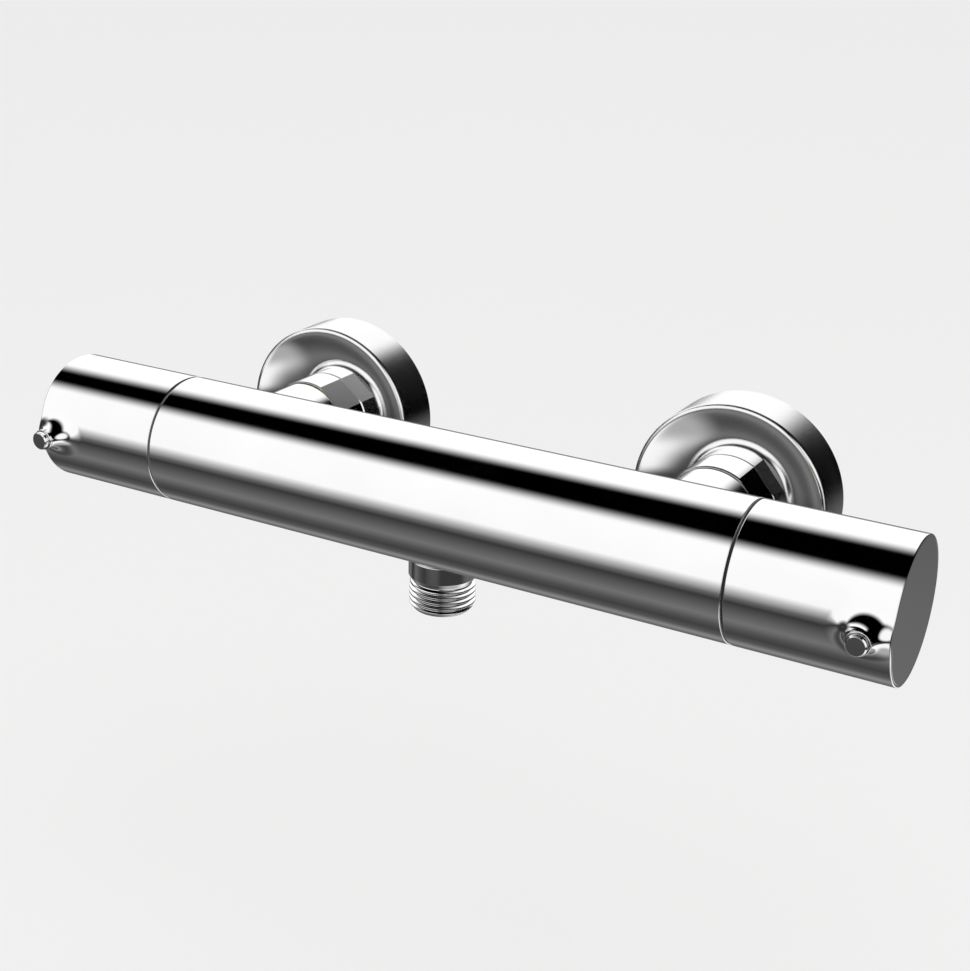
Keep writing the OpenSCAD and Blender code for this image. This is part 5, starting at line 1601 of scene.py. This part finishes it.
def pale_floor(look):
    """Pale floor that keeps the shadow. Seen straight by the camera it glows by itself for the
    greater part, and from below it is clear."""
    finish = Finish("pale_floor", Roughness=0.9)
    finish.colour(finish.mottle(*FLOOR_CLOUD), look.floor, FLOOR_SHADES)
    finish.relief((finish.mottle(*FLOOR_GRAIN), *FLOOR_RELIEF))
    glow = finish.node("ShaderNodeEmission", {"Color": WHITE, "Strength": 1.0}).outputs[0]
    clear = finish.node("ShaderNodeBsdfTransparent").outputs[0]
    seen = finish.node("ShaderNodeLightPath").outputs["Is Camera Ray"]
    back = finish.node("ShaderNodeNewGeometry").outputs["Backfacing"]
    lit = finish.mix(
        finish.maths("MULTIPLY", seen, FLOOR_GLOW), finish.shader.outputs[0], glow
    )
    surface = finish.tree.nodes["Material Output"].inputs["Surface"]
    finish.tree.links.new(finish.mix(back, lit, clear), surface)
    return finish.material


def make_floor(look):
    """The floor: one flat square."""
    plane = bpy.data.meshes.new("floor")
    corners = [
        (x * FLOOR_HALF, y * FLOOR_HALF, look.floor_z)
        for x, y in ((-1, -1), (1, -1), (1, 1), (-1, 1))
    ]
    plane.from_pydata(corners, [], [(0, 1, 2, 3)])
    plane.materials.append(pale_floor(look))
    return link("floor", plane)


def make_lamp():
    """A soft lamp overhead, aimed at the wall's origin and kept out of mirror images."""
    light = bpy.data.lights.new("Overhead", "AREA")
    light.shape, light.energy = "RECTANGLE", LAMP_WATTS
    light.size, light.size_y = LAMP_SIZE
    lamp = link("Overhead", light)
    lamp.location = LAMP_PLACE
    lamp.rotation_euler = (-Vector(LAMP_PLACE)).to_track_quat("-Z", "Y").to_euler()
    lamp.visible_glossy = False
    return lamp


def make_camera(look):
    """The camera that sees the valve as the photograph does."""
    data = bpy.data.cameras.new("Camera")
    data.lens, data.sensor_width, data.sensor_fit = look.lens, SENSOR, "HORIZONTAL"
    data.clip_start, data.clip_end = CLIP
    camera = link("Camera", data)
    camera.matrix_world = camera_matrix(look)
    return camera


class VALVE_OT_stage(bpy.types.Operator):
    """Makes the pale floor, the studio light and the camera, and lets the fixed pieces mirror
    the studio alone"""

    bl_idname = "valve.stage"
    bl_label = "Studio"

    def execute(self, context):
        scene, look = context.scene, context.scene.valve_look
        studio_world()
        floor, lamp = make_floor(look), make_lamp()
        scene.camera = make_camera(look)
        scene.view_settings.view_transform = "Standard"
        # In the photograph the fixed pieces mirror the studio alone, not each other.
        for piece in bpy.data.objects:
            if piece.type == "MESH" and not piece.name.startswith(tuple(ENDS)):
                piece.visible_glossy = False
        return {"FINISHED"}


# Add-on


STEPS = (
    VALVE_OT_finishes, VALVE_OT_body, VALVE_OT_handles, VALVE_OT_end_caps,
    VALVE_OT_lever_pins, VALVE_OT_union_nuts, VALVE_OT_rosettes, VALVE_OT_outlet,
    VALVE_OT_eccentric_unions, VALVE_OT_springs, VALVE_OT_stage,
)
GROUPS = {
    "valve_bar": VALVE_PG_bar, "valve_handles": VALVE_PG_handles,
    "valve_unions": VALVE_PG_unions, "valve_look": VALVE_PG_look,
}


class VALVE_PT_panel(bpy.types.Panel):
    """Sidebar panel with the sizes and the steps that build the valve"""

    bl_idname = "VALVE_PT_panel"
    bl_label = "Shower Valve"
    bl_space_type = "VIEW_3D"
    bl_region_type = "UI"
    bl_category = "Shower Valve"

    def draw(self, context):
        for name, group in GROUPS.items():
            box = self.layout.box()
            box.label(text=group.__doc__)
            for key in group.__annotations__:
                box.prop(getattr(context.scene, name), key)
        for step in STEPS:
            self.layout.operator(step.bl_idname)


def register():
    for cls in (*GROUPS.values(), *STEPS, VALVE_PT_panel):
        bpy.utils.register_class(cls)
    for name, group in GROUPS.items():
        setattr(bpy.types.Scene, name, PointerProperty(type=group))


def unregister():
    for name in GROUPS:
        delattr(bpy.types.Scene, name)
    for cls in (VALVE_PT_panel, *reversed(STEPS), *reversed(GROUPS.values())):
        bpy.utils.unregister_class(cls)


def main():
    register()
    for step in STEPS:
        group, name = step.bl_idname.split(".")
        getattr(getattr(bpy.ops, group), name)()


if __name__ == "__main__":
    main()
